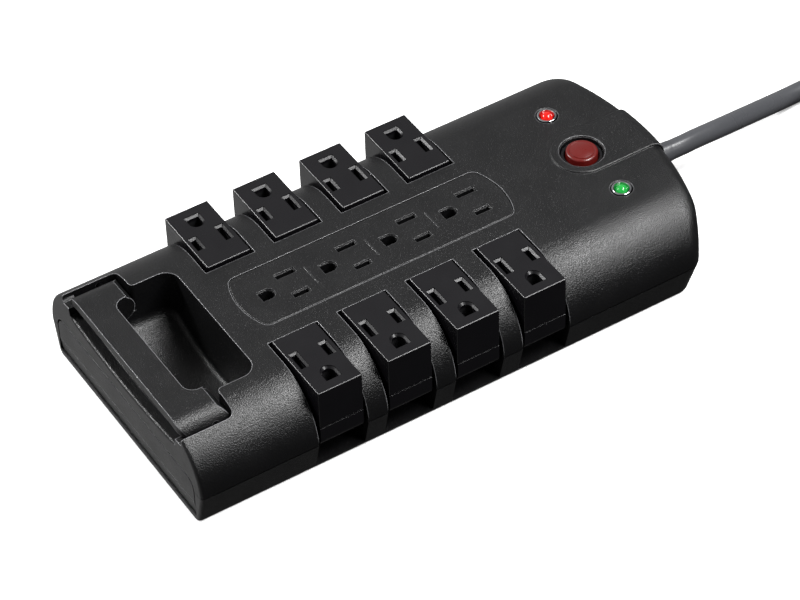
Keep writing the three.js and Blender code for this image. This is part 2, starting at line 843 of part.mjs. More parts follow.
function varistor(y) {
  const { x, radius, halfThickness, legSpacing } = varistors;
  const z = boardTop + radius + 2;
  const disc = rod(radius, y - halfThickness, y + halfThickness, [x, 0, z], 'y', 24);
  return union([disc, ...legs(x, y, legSpacing, z)]);
}

function lineChoke() {
  const { outer, inner, height, edge } = choke;
  const low = boardTop + clearance;
  const profile = [
    [inner, low + edge],
    [inner + edge, low],
    [outer - edge, low],
    [outer, low + edge],
    [outer, low + height - edge],
    [outer - edge, low + height],
    [inner + edge, low + height],
    [inner, low + height - edge],
    [inner, low + edge],
  ];
  return turned(profile, 16, [choke.x, choke.y, 0]);
}

function thermalFuse() {
  const { x, y, radius, halfLength, legSpacing } = fuse;
  const z = boardTop + radius + 2;
  const barrel = rod(radius, x - halfLength, x + halfLength, [0, y, z], 'x', 14);
  return union([barrel, ...legs(x, y, legSpacing, z)]);
}

// ---- Fasteners and pins ----
function baseScrew(x, y) {
  const { headRadius, shankRadius, headLowZ, headHighZ, tipZ, recessDepth } = screw;
  const head = rod(headRadius, headLowZ, headHighZ, [x, y, 0], 'z', 20);
  const shank = rod(shankRadius, headHighZ - 0.5, tipZ, [x, y, 0], 'z', 12);
  const long = screw.recessHalf;
  const thin = screw.recessHalfWidth;
  const cross = [[long, thin], [thin, long]].map(([a, b]) =>
    block(x - a, x + a, y - b, y + b, headLowZ - 1, headLowZ + recessDepth),
  );
  return cutAll(head.add(shank), cross);
}

function gripPin(sign) {
  const [low, high] = [sign * grip.pinInnerY, sign * grip.pinOuterY].sort((a, b) => a - b);
  return rod(grip.pinRadius, low, high, [grip.pivotX, 0, grip.pivotZ], 'y', 12);
}

// ---- Supply lead ----
function strainRelief() {
  const { radius, reliefRadius, reliefEndX } = lead;
  const wallInner = housing.right - housing.wall;
  const profile = [
    [0, wallInner - 5],
    [reliefRadius + 1.8, wallInner - 5],
    [reliefRadius + 1.8, wallInner - 5 * clearance],
    [reliefRadius, wallInner - 5 * clearance],
    [reliefRadius, housing.right + 1.5],
    [reliefRadius - 0.5, housing.right + 4],
    [radius + 0.5, reliefEndX - 0.6],
    [radius + 0.1, reliefEndX],
    [0, reliefEndX],
  ];
  return turned(profile, 20, [0, 0, lead.z], 'x');
}

// Centre line from the strain relief down to the floor and along it: past the relief's end, y, height
// over the floor line.
const leadRoute = [
  [0.3, 0, lead.z],
  [7, 0.1, lead.z - 0.2],
  [14, 0.9, lead.z - 0.9],
  [24.4, 2.4, lead.restZ + 12.65],
  [36, 5, lead.restZ + 9.65],
  [47.8, 8, lead.restZ + 6.25],
  [59.5, 10.8, lead.restZ + 3.05],
  [70.7, 12.8, lead.restZ + 0.85],
  [80, 13.7, lead.restZ + 0.05],
  [91, 14, lead.restZ],
].map(([x, y, z]) => [lead.reliefEndX + x, y, z]);

// From the top of the coil round into the plug: from the coil's middle, y, height over the coil's top turn.
const tailRoute = [
  [-57, -45, 0],
  [-56.4, -35.5, 0],
  [-53.6, -26, 0],
  [-48.8, -18, 0.1],
  [-42, -12.2, 0.8],
  [-34, -8.4, 2.5],
  [-27, -6.6, 4.7],
  [-22, -6.1, 6.3],
  [-18, -6, 7.2],
].map(([x, y, z]) => [coil.x + x, y, coil.tailZ + z]);

function leadTube(route) {
  const points = route.map(([x, y, z]) => new THREE.Vector3(x, y, z));
  const curve = new THREE.CatmullRomCurve3(points, false, 'centripetal');
  const ring = arc(0, 0, lead.radius, 0, 330, 11);
  const section = new THREE.Shape(ring.map(([x, y]) => new THREE.Vector2(x, y)));
  const steps = Math.max(4, Math.round(curve.getLength() / (5 * lead.radius)) * 2);
  const geometry = new THREE.ExtrudeGeometry(section, { steps, extrudePath: curve, bevelEnabled: false });
  return toSolid(geometry);
}

function leadCoil() {
  const { outerRadius, innerRadius, height } = coil;
  const edge = 3;
  const low = 0.1;
  const profile = [
    [innerRadius, low + edge],
    [innerRadius + edge, low],
    [outerRadius - edge, low],
    [outerRadius, low + edge],
    [outerRadius, height - edge],
    [outerRadius - edge, height],
    [innerRadius + edge, height],
    [innerRadius, height - edge],
    [innerRadius, low + edge],
  ];
  return turned(profile, 36, [coil.x, coil.y, 0]);
}

function plugBlade(sign, extra = 0) {
  const y = plug.y + (sign * outlet.bladeSpacing) / 2;
  const z = plug.z + plug.bladeRise;
  const half = plug.bladeThickness / 2 + extra;
  const tall = plug.bladeWidth / 2 + extra;
  const [low, high] = [plug.endX - plug.bladeRoot - extra, plug.endX + plug.bladeLength];
  return block(low, high, y - half, y + half, z - tall, z + tall);
}

function plugPin(extra = 0) {
  const z = plug.z + plug.bladeRise - outlet.groundOffset;
  const radius = plug.pinRadius + extra;
  const low = plug.endX - plug.bladeRoot - extra;
  const tip = plug.endX + plug.pinLength;
  const nose = [[radius, tip - 1.6], [radius * 0.7, tip - 0.5], [radius * 0.35, tip]];
  return turned([[0, low], [radius, low], ...nose, [0, tip]], 16, [0, plug.y, z], 'x');
}

function plugBody() {
  const { y, z, halfWidth, halfHeight, edge, taperX, bodyX } = plug;
  const face = roundedRectangle(y - halfWidth, z - halfHeight, y + halfWidth, z + halfHeight, edge, 4);
  const body = beam(face, bodyX, plug.endX);
  const profile = [
    [0, taperX],
    [lead.radius + 0.6, taperX],
    [halfHeight - 3.5, bodyX],
    [halfHeight - 1, bodyX + 6],
    [0, bodyX + 6],
  ];
  const taper = turned(profile, 20, [0, y, z], 'x');
  return cutAll(body.add(taper), [plugBlade(-1, clearance), plugBlade(1, clearance), plugPin(clearance)]);
}

// ---- Assembly ----
place('upper_housing', upperHousing(), ...finish.housing);
place('lower_housing', lowerHousing(), ...finish.housing);
place(
  'end_panel',
  beam(endPanelOutline(clearance), housing.left, housing.left + endPanel.thickness),
  ...finish.housing,
);
place('outlet_panel', outletPanel(), ...finish.housing);
place('fixed_contact_block', fixedContacts(), ...finish.insulator);
place('grip_bar', gripBar(), ...finish.housing);
place('grip_pin_front', gripPin(-1), ...finish.steel);
place('grip_pin_back', gripPin(1), ...finish.steel);

for (const each of pods) {
  place(`pod_cap_${each.name}`, podCap(each), ...finish.pod);
  place(`pod_base_${each.name}`, podBase(each), ...finish.pod);
  place(`pod_contacts_${each.name}`, podContacts(each), ...finish.insulator);
}

place('bus_bar_hot', bus(-busBar.pitch), ...finish.brass);
place('bus_bar_ground', bus(0), ...finish.brass);
place('bus_bar_neutral', bus(busBar.pitch), ...finish.brass);
place('power_button', powerButton(), '#c81f16', 0.25);
place('button_guide', buttonGuide(), ...finish.pod);
place('circuit_breaker', breakerBody(), '#3a3a3c', 0.5);
for (const [side, sign, color] of [['front', -1, '#3fd04a'], ['back', 1, '#e0261c']]) {
  place(`indicator_ring_${side}`, indicatorRing(sign * indicator.y), ...finish.steel);
  place(`indicator_lens_${side}`, indicatorLens(sign * indicator.y), color, 0.2);
}
place('circuit_board', circuitBoard(), '#2f6b3a', 0.6);
varistors.ys.forEach((y, i) => place(`varistor_${i + 1}`, varistor(y), '#1f4fa0', 0.5));
place('line_choke', lineChoke(), '#b06a2c', 0.5);
place('thermal_fuse', thermalFuse(), '#8d9196', 0.5);
bosses.forEach(([x, y], i) => place(`base_screw_${i + 1}`, baseScrew(x, y), ...finish.steel));
place('strain_relief', strainRelief(), ...finish.jacket);
place('cord', leadTube(leadRoute), ...finish.jacket);
place('cord_coil', leadCoil(), ...finish.jacket);
place('cord_tail', leadTube(tailRoute), ...finish.jacket);
place('plug_body', plugBody(), ...finish.jacket);
place('plug_blade_hot', plugBlade(-1), ...finish.brass);
place('plug_blade_neutral', plugBlade(1), ...finish.brass);
place('plug_ground_pin', plugPin(), ...finish.brass);

export default group;
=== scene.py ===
import bpy
import bmesh
import math
from mathutils import Matrix, Vector


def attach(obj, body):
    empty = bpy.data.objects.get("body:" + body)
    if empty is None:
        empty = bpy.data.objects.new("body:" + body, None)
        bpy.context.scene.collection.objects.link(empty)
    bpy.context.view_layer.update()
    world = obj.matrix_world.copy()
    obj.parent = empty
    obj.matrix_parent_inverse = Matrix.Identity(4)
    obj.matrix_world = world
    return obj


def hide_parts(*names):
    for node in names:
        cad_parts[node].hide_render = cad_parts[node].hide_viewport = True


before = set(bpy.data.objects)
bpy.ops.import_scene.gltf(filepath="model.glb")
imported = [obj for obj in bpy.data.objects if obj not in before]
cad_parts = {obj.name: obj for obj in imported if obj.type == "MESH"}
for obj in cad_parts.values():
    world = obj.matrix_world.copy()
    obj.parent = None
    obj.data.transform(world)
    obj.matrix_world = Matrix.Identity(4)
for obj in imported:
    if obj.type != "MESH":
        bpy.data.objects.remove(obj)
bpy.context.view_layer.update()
scene = bpy.context.scene
mm = 0.001
print("stage 1: frame loaded,", len(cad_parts), "nodes")


view = {
    "azimuth": -31.07,
    "elevation": 44.15,
    "roll": -1.91,
    "distance": 1.3813,
    "target": (0.0052, 0.0043, 0.0),
    "lens": 151.55,
    "sensor": 36.0,
}


def makeCamera():
    around, above = math.radians(view["azimuth"]), math.radians(view["elevation"])
    roll = math.radians(view["roll"])
    flat = math.cos(above)
    back = Vector((math.sin(around) * flat, -math.cos(around) * flat, math.sin(above)))
    right = Vector((math.cos(around), math.sin(around), 0))
    up = back.cross(right)
    tilted = right * math.cos(roll) + up * math.sin(roll)
    upright = up * math.cos(roll) - right * math.sin(roll)
    camera = bpy.data.objects.new("camera", bpy.data.cameras.new("camera"))
    camera.data.lens = view["lens"]
    camera.data.sensor_width = view["sensor"]
    camera.data.clip_start, camera.data.clip_end = 0.05, 30
    turn = Matrix((tilted, upright, back)).transposed().to_4x4()
    camera.matrix_world = Matrix.Translation(Vector(view["target"]) + back * view["distance"]) @ turn
    scene.collection.objects.link(camera)
    scene.camera = camera


makeCamera()


def hexColour(code):
    parts = [int(code[i : i + 2], 16) / 255 for i in (1, 3, 5)]
    linear = [c / 12.92 if c <= 0.04045 else ((c + 0.055) / 1.055) ** 2.4 for c in parts]
    return (*linear, 1.0)


# A setting is an input's name or number, or a property. A link starts at a socket, or at a node's first.
def addNode(tree, kind, settings=None, links=None):
    node = tree.nodes.new(kind)
    for key, value in (settings or {}).items():
        if isinstance(key, int) or key in node.inputs:
            node.inputs[key].default_value = value
        else:
            setattr(node, key, value)
    for key, source in (links or {}).items():
        start = source.outputs[0] if isinstance(source, bpy.types.Node) else source
        tree.links.new(start, node.inputs[key])
    return node


def newMaterial(name, settings=None):
    material = bpy.data.materials.new(name)
    material.use_nodes = True
    tree = material.node_tree
    tree.nodes.clear()
    shader = addNode(tree, "ShaderNodeBsdfPrincipled", settings)
    addNode(tree, "ShaderNodeOutputMaterial", links={"Surface": shader})
    return material, tree, shader


noiseSpan = {"From Min": 0.3, "From Max": 0.7}  # where most of a noise texture's values lie

# Shared by every moulded plastic here, sizes in mm.
mould = {
    "ior": 1.5,
    "patch": 14,  # size of the patches where the gloss wanders
    "wander": 0.04,  # of the roughness, either way
    "highlightTurn": (0.99, 0.86),  # how far a corner's normal turns before the painted edge highlight starts, and where it is full
    "highlightOpenness": (0.72, 0.95),  # how clear of its surroundings a corner has to be for the painted highlight, so hollows get none
    "highlightAbove": (17, 20),  # the painted edge highlight fades in above the seam
}


# Moulded plastic: one body colour, a roughness that wanders a little, a fine grain from the mould, and
# convex corners painted paler as a highlight and made smoother than the faces.
def mouldedPlastic(name, colour, roughness, grain, grainSize=0.6, edge=0.3, speck=0.0, paintedEdgeHighlight=None):
    material, tree, shader = newMaterial(name, {"IOR": mould["ior"]})
    place = addNode(tree, "ShaderNodeTexCoord")
    where = {"Vector": place.outputs["Object"]}
    patches = addNode(tree, "ShaderNodeTexNoise", {"Scale": 1 / (mould["patch"] * mm), "Detail": 3.0}, where)
    low, high = roughness - mould["wander"], roughness + mould["wander"]
    wander = {**noiseSpan, "To Min": low, "To Max": high}
    gloss = addNode(tree, "ShaderNodeMapRange", wander, {"Value": patches.outputs["Fac"]})
    texture = {"Scale": 1 / (grainSize * mm), "Detail": 1.0, "Roughness": 0.5}
    fine = addNode(tree, "ShaderNodeTexNoise", texture, where).outputs["Fac"]
    darker, lighter = ([c * (1 + sign * speck) for c in hexColour(colour)[:3]] + [1] for sign in (-1, 1))
    tint = addNode(tree, "ShaderNodeMix", {"data_type": "RGBA", 6: darker, 7: lighter}, {"Factor": fine})
    surface, normal = tint.outputs[2], None
    # Convex, open corners above the seam are painted paler as a highlight and given a smoother gloss.
    if paintedEdgeHighlight:
        flat = addNode(tree, "ShaderNodeNewGeometry")
        normal = addNode(tree, "ShaderNodeBevel", {"samples": 8, "Radius": edge * mm})
        both = {0: normal, 1: flat.outputs["Normal"]}
        turn = addNode(tree, "ShaderNodeVectorMath", {"operation": "DOT_PRODUCT"}, both).outputs["Value"]
        around = addNode(tree, "ShaderNodeAmbientOcclusion", {"samples": 6, "Distance": 2.5 * edge * mm})
        height = addNode(tree, "ShaderNodeSeparateXYZ", links={0: place.outputs["Object"]})
        highlightHeights = [z * mm for z in mould["highlightAbove"]]
        masks = [(turn, mould["highlightTurn"]), (around.outputs["AO"], mould["highlightOpenness"])]
        highlightMask = None
        for source, (start, end) in (*masks, (height.outputs["Z"], highlightHeights)):
            limits = {"From Min": start, "From Max": end}
            mask = addNode(tree, "ShaderNodeMapRange", limits, {"Value": source})
            if highlightMask:
                mask = addNode(tree, "ShaderNodeMath", {"operation": "MULTIPLY"}, {0: highlightMask, 1: mask})
            highlightMask = mask
        settings = {"data_type": "FLOAT", 3: paintedEdgeHighlight[1]}
        gloss = addNode(tree, "ShaderNodeMix", settings, {"Factor": highlightMask, 2: gloss})
        settings = {"data_type": "RGBA", 7: hexColour(paintedEdgeHighlight[0])}
        surface = addNode(tree, "ShaderNodeMix", settings, {"Factor": highlightMask, 6: surface}).outputs[2]
    bump = addNode(tree, "ShaderNodeBump", {"Strength": 1.0, "Distance": grain * mm}, {"Height": fine})
    if normal:
        tree.links.new(normal.outputs[0], bump.inputs["Normal"])
    tree.links.new(surface, shader.inputs["Base Color"])
    tree.links.new(gloss.outputs[0], shader.inputs["Roughness"])
    tree.links.new(bump.outputs[0], shader.inputs["Normal"])
    return material


# Polished or plated metal with a faint brushed variation.
def bareMetal(name, colour, roughness, scratch=0.5):
    material, tree, shader = newMaterial(name, {"Metallic": 1.0})
    where = {"Vector": addNode(tree, "ShaderNodeTexCoord").outputs["Object"]}
    brushed = addNode(tree, "ShaderNodeTexNoise", {"Scale": 1 / (scratch * mm), "Detail": 4.0}, where)
    fine = brushed.outputs["Fac"]
    spread = {**noiseSpan, "To Min": roughness * 0.75, "To Max": roughness * 1.3}
    gloss = addNode(tree, "ShaderNodeMapRange", spread, {"Value": fine})
    darker = [c * 0.85 for c in hexColour(colour)[:3]] + [1]
    shades = {"data_type": "RGBA", 6: darker, 7: hexColour(colour)}
    shade = addNode(tree, "ShaderNodeMix", shades, {"Factor": fine})
    tree.links.new(gloss.outputs[0], shader.inputs["Roughness"])
    tree.links.new(shade.outputs[2], shader.inputs["Base Color"])
    return material


# Clear-tinted acrylic that is lit from behind, as a pilot lamp is.
def litAcrylic(name, colour, glow, strength, roughness=0.12):
    settings = {
        "Base Color": hexColour(colour),
        "IOR": 1.49,
        "Transmission Weight": 0.15,
        "Coat Weight": 0.3,
        "Coat Roughness": 0.15,
        "Emission Color": hexColour(glow),
        "Emission Strength": strength,
    }
    material, tree, shader = newMaterial(name, settings)
    where = {"Vector": addNode(tree, "ShaderNodeTexCoord").outputs["Object"]}
    cloud = addNode(tree, "ShaderNodeTexNoise", {"Scale": 1 / (3 * mm), "Detail": 2.0}, where)
    spread = {"To Min": roughness * 0.7, "To Max": roughness * 1.4}
    gloss = addNode(tree, "ShaderNodeMapRange", spread, {"Value": cloud.outputs["Fac"]})
    tree.links.new(gloss.outputs[0], shader.inputs["Roughness"])
    return material


# The housing's black ABS and the sand of its mould, drawn coarser than life so that it shows.
sandy = {"colour": "#0e0e0f", "roughness": 0.34, "grain": 0.2, "grainSize": 0.45, "speck": 0.25}
materials = {
    # black ABS out of a spark-eroded mould: matt, with a sandy grain that sparkles where light grazes it,
    # and a pale painted highlight along its convex edges
    "housing": mouldedPlastic("spark_textured_abs", **sandy, edge=0.55, paintedEdgeHighlight=("#909093", 0.2)),
    # the outlet panel, whose painted edge highlight is fainter
    "panel": mouldedPlastic("outlet_panel_abs", **sandy, edge=0.4, paintedEdgeHighlight=("#4c4c4e", 0.25)),
    # the same moulding with no painted edge highlight: the base and the end cover are grained up to the edge
    "shell": mouldedPlastic("unhighlighted_textured_abs", **sandy),
    # black ABS out of a finely ground mould: smoother and a little glossier than the housing
    "pod": mouldedPlastic("satin_abs", "#0c0b0e", 0.28, grain=0.03, grainSize=0.5, speck=0.1),
    # black PBT, which holds contacts: dull, a shade greyer than the shells
    "insulator": mouldedPlastic("pbt_insulator", "#101012", 0.55, grain=0.02, speck=0.05),
    # cartridge brass strip, stamped: warm yellow, softly shining
    "brass": bareMetal("stamped_brass", "#d8b668", 0.28),
    # zinc-plated steel: cool grey, slightly cloudy
    "steel": bareMetal("zinc_plated_steel", "#c4c7cb", 0.3),
    # chrome on ABS round the lamps: bright rims that mirror the room
    "brightTrim": bareMetal("chrome_plating", "#d2d4d7", 0.13),
    # oxide-blackened steel: the hinge pins stay dark in the gap beside the bar
    "blackSteel": bareMetal("black_oxide_steel", "#1b1b1d", 0.45),
    # flexible PVC jacket: satin dark grey with a faint skin from the extruder
    "jacket": mouldedPlastic("pvc_jacket", "#454649", 0.3, grain=0.03, grainSize=1.2, speck=0.08),
    # phenolic breaker case: dull brown-black
    "breaker": mouldedPlastic("phenolic_case", "#26262a", 0.5, grain=0.01),
    # glass-epoxy laminate under green solder mask: even, lightly glossy
    "board": mouldedPlastic("solder_mask_board", "#2a6b3a", 0.35, grain=0.008, grainSize=0.9),
    # epoxy-dipped varistor discs: blue, rounded by the dip
    "varistor": mouldedPlastic("dipped_epoxy", "#2454b0", 0.3, grain=0.02, grainSize=2.0),
    # enamelled copper winding: orange-brown under a clear coat
    "copper": bareMetal("enamelled_copper", "#c07a3c", 0.3),
    # tinted acrylic button over a faint lamp: deep red with a soft sheen
    "buttonRed": litAcrylic("lit_red_acrylic", "#5a120f", "#ff2a14", 0.025, 0.3),
    # tinted acrylic lenses, lit: the glow fills the dome evenly
    "lensRed": litAcrylic("red_lamp_lens", "#a8120f", "#ff2010", 0.45),
    "lensGreen": litAcrylic("green_lamp_lens", "#147a2c", "#30e060", 0.28),
}
print("stage 2: camera and materials")


# Outlines and meshes are worked in mm, and each finished piece is brought to metres at its end.
def arcPoints(cx, cy, radius, start, end, steps):
    angles = [math.radians(start + (end - start) * i / steps) for i in range(steps + 1)]
    return [(cx + radius * math.cos(a), cy + radius * math.sin(a)) for a in angles]


# Counter-clockwise rectangle with radii in the order right-top, left-top, left-bottom, right-bottom.
def roundedBox(left, bottom, right, top, radii, steps=5):
    rt, lt, lb, rb = radii if isinstance(radii, tuple) else (radii,) * 4
    return [
        *arcPoints(right - rt, top - rt, rt, 0, 90, steps),
        *arcPoints(left + lt, top - lt, lt, 90, 180, steps),
        *arcPoints(left + lb, bottom + lb, lb, 180, 270, steps),
        *arcPoints(right - rb, bottom + rb, rb, 270, 360, steps),
    ]


def flipped(points):
    return [(x, -y) for x, y in points][::-1]


# How an outline lies in space: "z" stands it up, "x" runs it along the strip, "y" across the strip.
def inSpace(axis, u, v, w):
    return {"z": (u, v, w), "x": (w, u, v), "y": (u, w, v)}[axis]


def addPiece(name, verts, faces):
    mesh = bpy.data.meshes.new(name)
    mesh.from_pydata([tuple(v) for v in verts], [], faces)
    built = bmesh.new()
    built.from_mesh(mesh)
    bmesh.ops.remove_doubles(built, verts=built.verts, dist=1e-4)
    bmesh.ops.recalc_face_normals(built, faces=built.faces)
    built.to_mesh(mesh)
    built.free()
    piece = bpy.data.objects.new(name, mesh)
    scene.collection.objects.link(piece)
    return piece


# Rings of the same number of points: the points, the quads between the rings, and the faces at the ends.
def ringFaces(rings):
    count = len(rings[0])
    verts = [point for ring in rings for point in ring]
    sides = []
    for low in range(0, len(verts) - count, count):
        high = low + count
        sides += [(low + i, low + (i + 1) % count, high + (i + 1) % count, high + i) for i in range(count)]
    return verts, sides, [tuple(range(count))[::-1], tuple(range(len(verts) - count, len(verts)))]


def skin(name, rings):
    verts, sides, ends = ringFaces(rings)
    return addPiece(name, verts, [*ends, *sides])


def prism(outline, low, high, axis="z", name="cutter"):
    return skin(name, [[inSpace(axis, u, v, w) for u, v in outline] for w in (low, high)])


def stacked(levels, axis="z", name="cutter"):
    return skin(name, [[inSpace(axis, u, v, w) for u, v in outline] for w, outline in levels])


# Profile of (radius, height) pairs turned about an axis through a centre; radius 0 closes a pole.
def lathe(profile, centre, axis="z", segments=64, name="turned"):
    verts, faces = [], []
    for radius, height in profile:
        for i in range(segments):
            angle = 2 * math.pi * i / segments
            u, v = radius * math.cos(angle), radius * math.sin(angle)
            verts.append([c + o for c, o in zip(centre, inSpace(axis, u, v, height))])
    closed = profile[0] == profile[-1]
    for level in range(len(profile) - 1):
        low, high = level * segments, (level + 1) * segments
        for i in range(segments):
            j = (i + 1) % segments
            quad = [low + i, low + j, high + j, high + i]
            if profile[level][0] == 0:
                quad = [low, high + j, high + i]
            if profile[level + 1][0] == 0:
                quad = [low + i, low + j, high]
            faces.append(tuple(quad))
    if not closed and profile[0][0] > 0:
        faces.append(tuple(range(segments)))
    if not closed and profile[-1][0] > 0:
        faces.append(tuple(range(len(verts) - segments, len(verts))))
    piece = addPiece(name, verts, faces)
    built = bmesh.new()
    built.from_mesh(piece.data)
    bmesh.ops.delete(built, geom=[v for v in built.verts if not v.link_faces], context="VERTS")
    built.to_mesh(piece.data)
    built.free()
    return piece


def rod(radius, low, high, centre, axis="z", segments=48):
    return lathe([(radius, low), (radius, high)], centre, axis, segments)


def settle(piece):
    graph = bpy.context.evaluated_depsgraph_get()
    result = bpy.data.meshes.new_from_object(piece.evaluated_get(graph))
    piece.modifiers.clear()
    piece.data = result
    return piece


def combine(piece, others, operation="DIFFERENCE"):
    for other in others:
        step = piece.modifiers.new("combine", "BOOLEAN")
        step.operation = operation
        step.solver = "MANIFOLD"
        step.object = other
    settle(piece)
    for other in others:
        bpy.data.objects.remove(other)
    return piece


def bevelled(piece, width, segments=2, angle=40):
    step = piece.modifiers.new("edges", "BEVEL")
    step.width = width
    step.segments = segments
    step.limit_method = "ANGLE"
    step.angle_limit = math.radians(angle)
    step.harden_normals = False
    return settle(piece)


# Join coplanar scraps, shade smooth between gentle faces and crisp at corners, and bring mm to metres.
def finished(piece, name, material, body, nodes=(), sharp=32):
    piece.name = name
    built = bmesh.new()
    built.from_mesh(piece.data)
    bmesh.ops.remove_doubles(built, verts=built.verts, dist=2e-3)
    bmesh.ops.dissolve_degenerate(built, edges=built.edges, dist=1e-3)
    built.to_mesh(piece.data)
    built.free()
    piece.data.transform(Matrix.Scale(mm, 4))
    piece.data.shade_smooth()
    piece.data.set_sharp_from_angle(angle=math.radians(sharp))
    weigh = piece.modifiers.new("normals", "WEIGHTED_NORMAL")
    weigh.keep_sharp = True
    weigh.weight = 80
    settle(piece)
    return onBody(piece, material, body, nodes)


def emptyTree(name, sizes):
    tree = bpy.data.node_groups.new(name, "GeometryNodeTree")
    tree.interface.new_socket(name="Geometry", in_out="INPUT", socket_type="NodeSocketGeometry")
    for label, value in sizes.items():
        kind = "NodeSocketInt" if isinstance(value, int) else "NodeSocketFloat"
        tree.interface.new_socket(name=label, in_out="INPUT", socket_type=kind).default_value = value
    tree.interface.new_socket(name="Material", in_out="INPUT", socket_type="NodeSocketMaterial")
    tree.interface.new_socket(name="Geometry", in_out="OUTPUT", socket_type="NodeSocketGeometry")
    return tree, tree.nodes.new("NodeGroupInput").outputs


# Every tree ends the same way: real geometry, merged, in its material.
def closeTree(tree, inputs, geometry):
    real = addNode(tree, "GeometryNodeRealizeInstances", links={0: geometry})
    finish = {"Geometry": real, "Material": inputs["Material"]}
    shown = addNode(tree, "GeometryNodeSetMaterial", links=finish)
    addNode(tree, "NodeGroupOutput", links={0: shown})
    return tree


def grown(name, tree, material, points=((0, 0, 0),)):
    mesh = bpy.data.meshes.new(name)
    mesh.from_pydata([tuple(p) for p in points], [], [])
    piece = bpy.data.objects.new(name, mesh)
    scene.collection.objects.link(piece)
    nodes = piece.modifiers.new("nodes", "NODES")
    nodes.node_group = tree
    for item in tree.interface.items_tree:
        if item.in_out == "INPUT" and item.name == "Material":
            nodes[item.identifier] = material
    return settle(piece)


def joined(pieces, name):
    built = bmesh.new()
    for piece in pieces:
        built.from_mesh(piece.data)
        bpy.data.objects.remove(piece)
    mesh = bpy.data.meshes.new(name)
    built.to_mesh(mesh)
    built.free()
    whole = bpy.data.objects.new(name, mesh)
    scene.collection.objects.link(whole)
    return whole


cordFacts = {
    "length": 2.4,
    "diameter": 0.0085,
    "turns": 3.8,  # on each of the two layers
    "pitch": 8.75,  # from turn to turn, mm
    "coilCentre": (263.0, -48.0),
    "outerTurn": 62.0,
    "layers": (4.35, 13.0),  # heights of the cord's centre
    "climb": 0.22,  # of a turn, from the lower layer to the upper
    "lidZ": 22.1,
    "exit": (137.0, 0.0, 19.7),
}

# From the strain relief down to the floor and along it, mm.
leadRoute = [
    (137.0, 0, 19.7),
    (144, 0.1, 19.5),
    (151, 0.9, 18.8),
    (161.4, 2.4, 17),
    (173, 5, 14),
    (184.8, 8, 10.6),
    (196.5, 10.8, 7.4),
    (207.7, 12.8, 5.2),
    (217, 13.7, 4.4),
    (228, 14, 4.35),
    (246, 14, 4.35),
]

# From the top of the coil round into the plug, mm.
tailRoute = [
    (206.6, -35.5, 22.1),
    (209.4, -26, 22.1),
    (214.2, -18, 22.2),
    (221, -12.2, 22.9),
    (229, -8.4, 24.6),
    (236, -6.6, 26.8),
    (241, -6.1, 28.4),
    (245.7, -6, 29.6),
]


# Clockwise turns: inwards along the floor, then outwards on top of them, then up onto the lid.
def coilRoute(turns):
    cx, cy = cordFacts["coilCentre"]
    outer, pitch, climb = cordFacts["outerTurn"], cordFacts["pitch"], cordFacts["climb"]
    low, high = cordFacts["layers"]
    perTurn = 40
    points = []
    for i in range(int(round(2 * turns * perTurn)) + 1):
        t = i / perTurn
        inward = t if t <= turns else 2 * turns - t
        radius = outer - pitch * inward
        lift = min(1, max(0, (t - turns + climb / 2) / climb))
        z = low + (high - low) * (0.5 - 0.5 * math.cos(math.pi * lift))
        angle = math.radians(90 - 360 * t)
        points.append((cx + radius * math.cos(angle), cy + radius * math.sin(angle), z))
    endAngle = 90 - 360 * 2 * turns
    lastX, lastY = tailRoute[0][0] - cx, tailRoute[0][1] - cy
    sweep = (endAngle - math.degrees(math.atan2(lastY, lastX))) % 360
    lastRadius = math.hypot(lastX, lastY)
    for i in range(1, 12):
        share = i / 12
        ease = 0.5 - 0.5 * math.cos(math.pi * min(1, share * 1.25))
        angle = math.radians(endAngle - sweep * share)
        radius = outer + (lastRadius - outer) * ease
        z = high + (cordFacts["lidZ"] - high) * ease
        points.append((cx + radius * math.cos(angle), cy + radius * math.sin(angle), z))
    return points


def smoothed(points, perSpan):
    result = []
    for i in range(len(points) - 1):
        a, b, c, d = (Vector(points[min(max(k, 0), len(points) - 1)]) for k in (i - 1, i, i + 1, i + 2))
        for s in range(perSpan):
            t = s / perSpan
            bend, twist = 2 * a - 5 * b + 4 * c - d, 3 * b - a - 3 * c + d
            result.append(0.5 * (2 * b + (c - a) * t + bend * t**2 + twist * t**3))
    result.append(Vector(points[-1]))
    return result


def wholeRoute():
    wound = [Vector(point) for point in coilRoute(cordFacts["turns"])]
    return smoothed(leadRoute, 4) + wound + smoothed(tailRoute, 4)


# A piece in its material, on its body, in place of the nodes that it stands for.
def onBody(piece, material, body, nodes=()):
    piece.data.materials.clear()
    piece.data.materials.append(material)
    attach(piece, body)
    if nodes:
        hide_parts(*nodes)
    return piece


def makeCord():
    points = wholeRoute()
    curve = bpy.data.curves.new("supply_cord", "CURVE")
    curve.dimensions = "3D"
    curve.bevel_depth = cordFacts["diameter"] / 2
    curve.bevel_resolution = 6
    curve.use_fill_caps = True
    spline = curve.splines.new("POLY")
    spline.points.add(len(points) - 1)
    for target, point in zip(spline.points, points):
        target.co = (*(point * mm), 1)
    spline.use_smooth = True
    piece = bpy.data.objects.new("supply_cord", curve)
    scene.collection.objects.link(piece)
    return onBody(piece, materials["jacket"], "housing", ("cord", "cord_coil", "cord_tail"))


cord = makeCord()

gap = 0.3  # between neighbours that don't touch, mm
snug = 0.2  # round pins and screws, mm
farUp, farOut = 70, 85  # where cutters end, well clear of the housing, mm

housing = {
    "left": -125.0,
    "right": 124.2,
    "halfWidth": 60.58,
    "halfBase": 56.7,
    "seam": 16.0,
    "lineHeight": 0.45,  # the shadow line under the seam
    "lineDepth": 0.8,
    "top": 41.0,
    "shoulder": 25.0,
    "endBow": 130.0,  # radius of the cord end, seen from above
    "corner": 8.0,
    "leftCorner": 1.6,
    "topEdge": 6.5,
    "foot": 1.4,
    "wall": 2.5,
    "floor": 2.2,
    "endWall": 5.0,
}


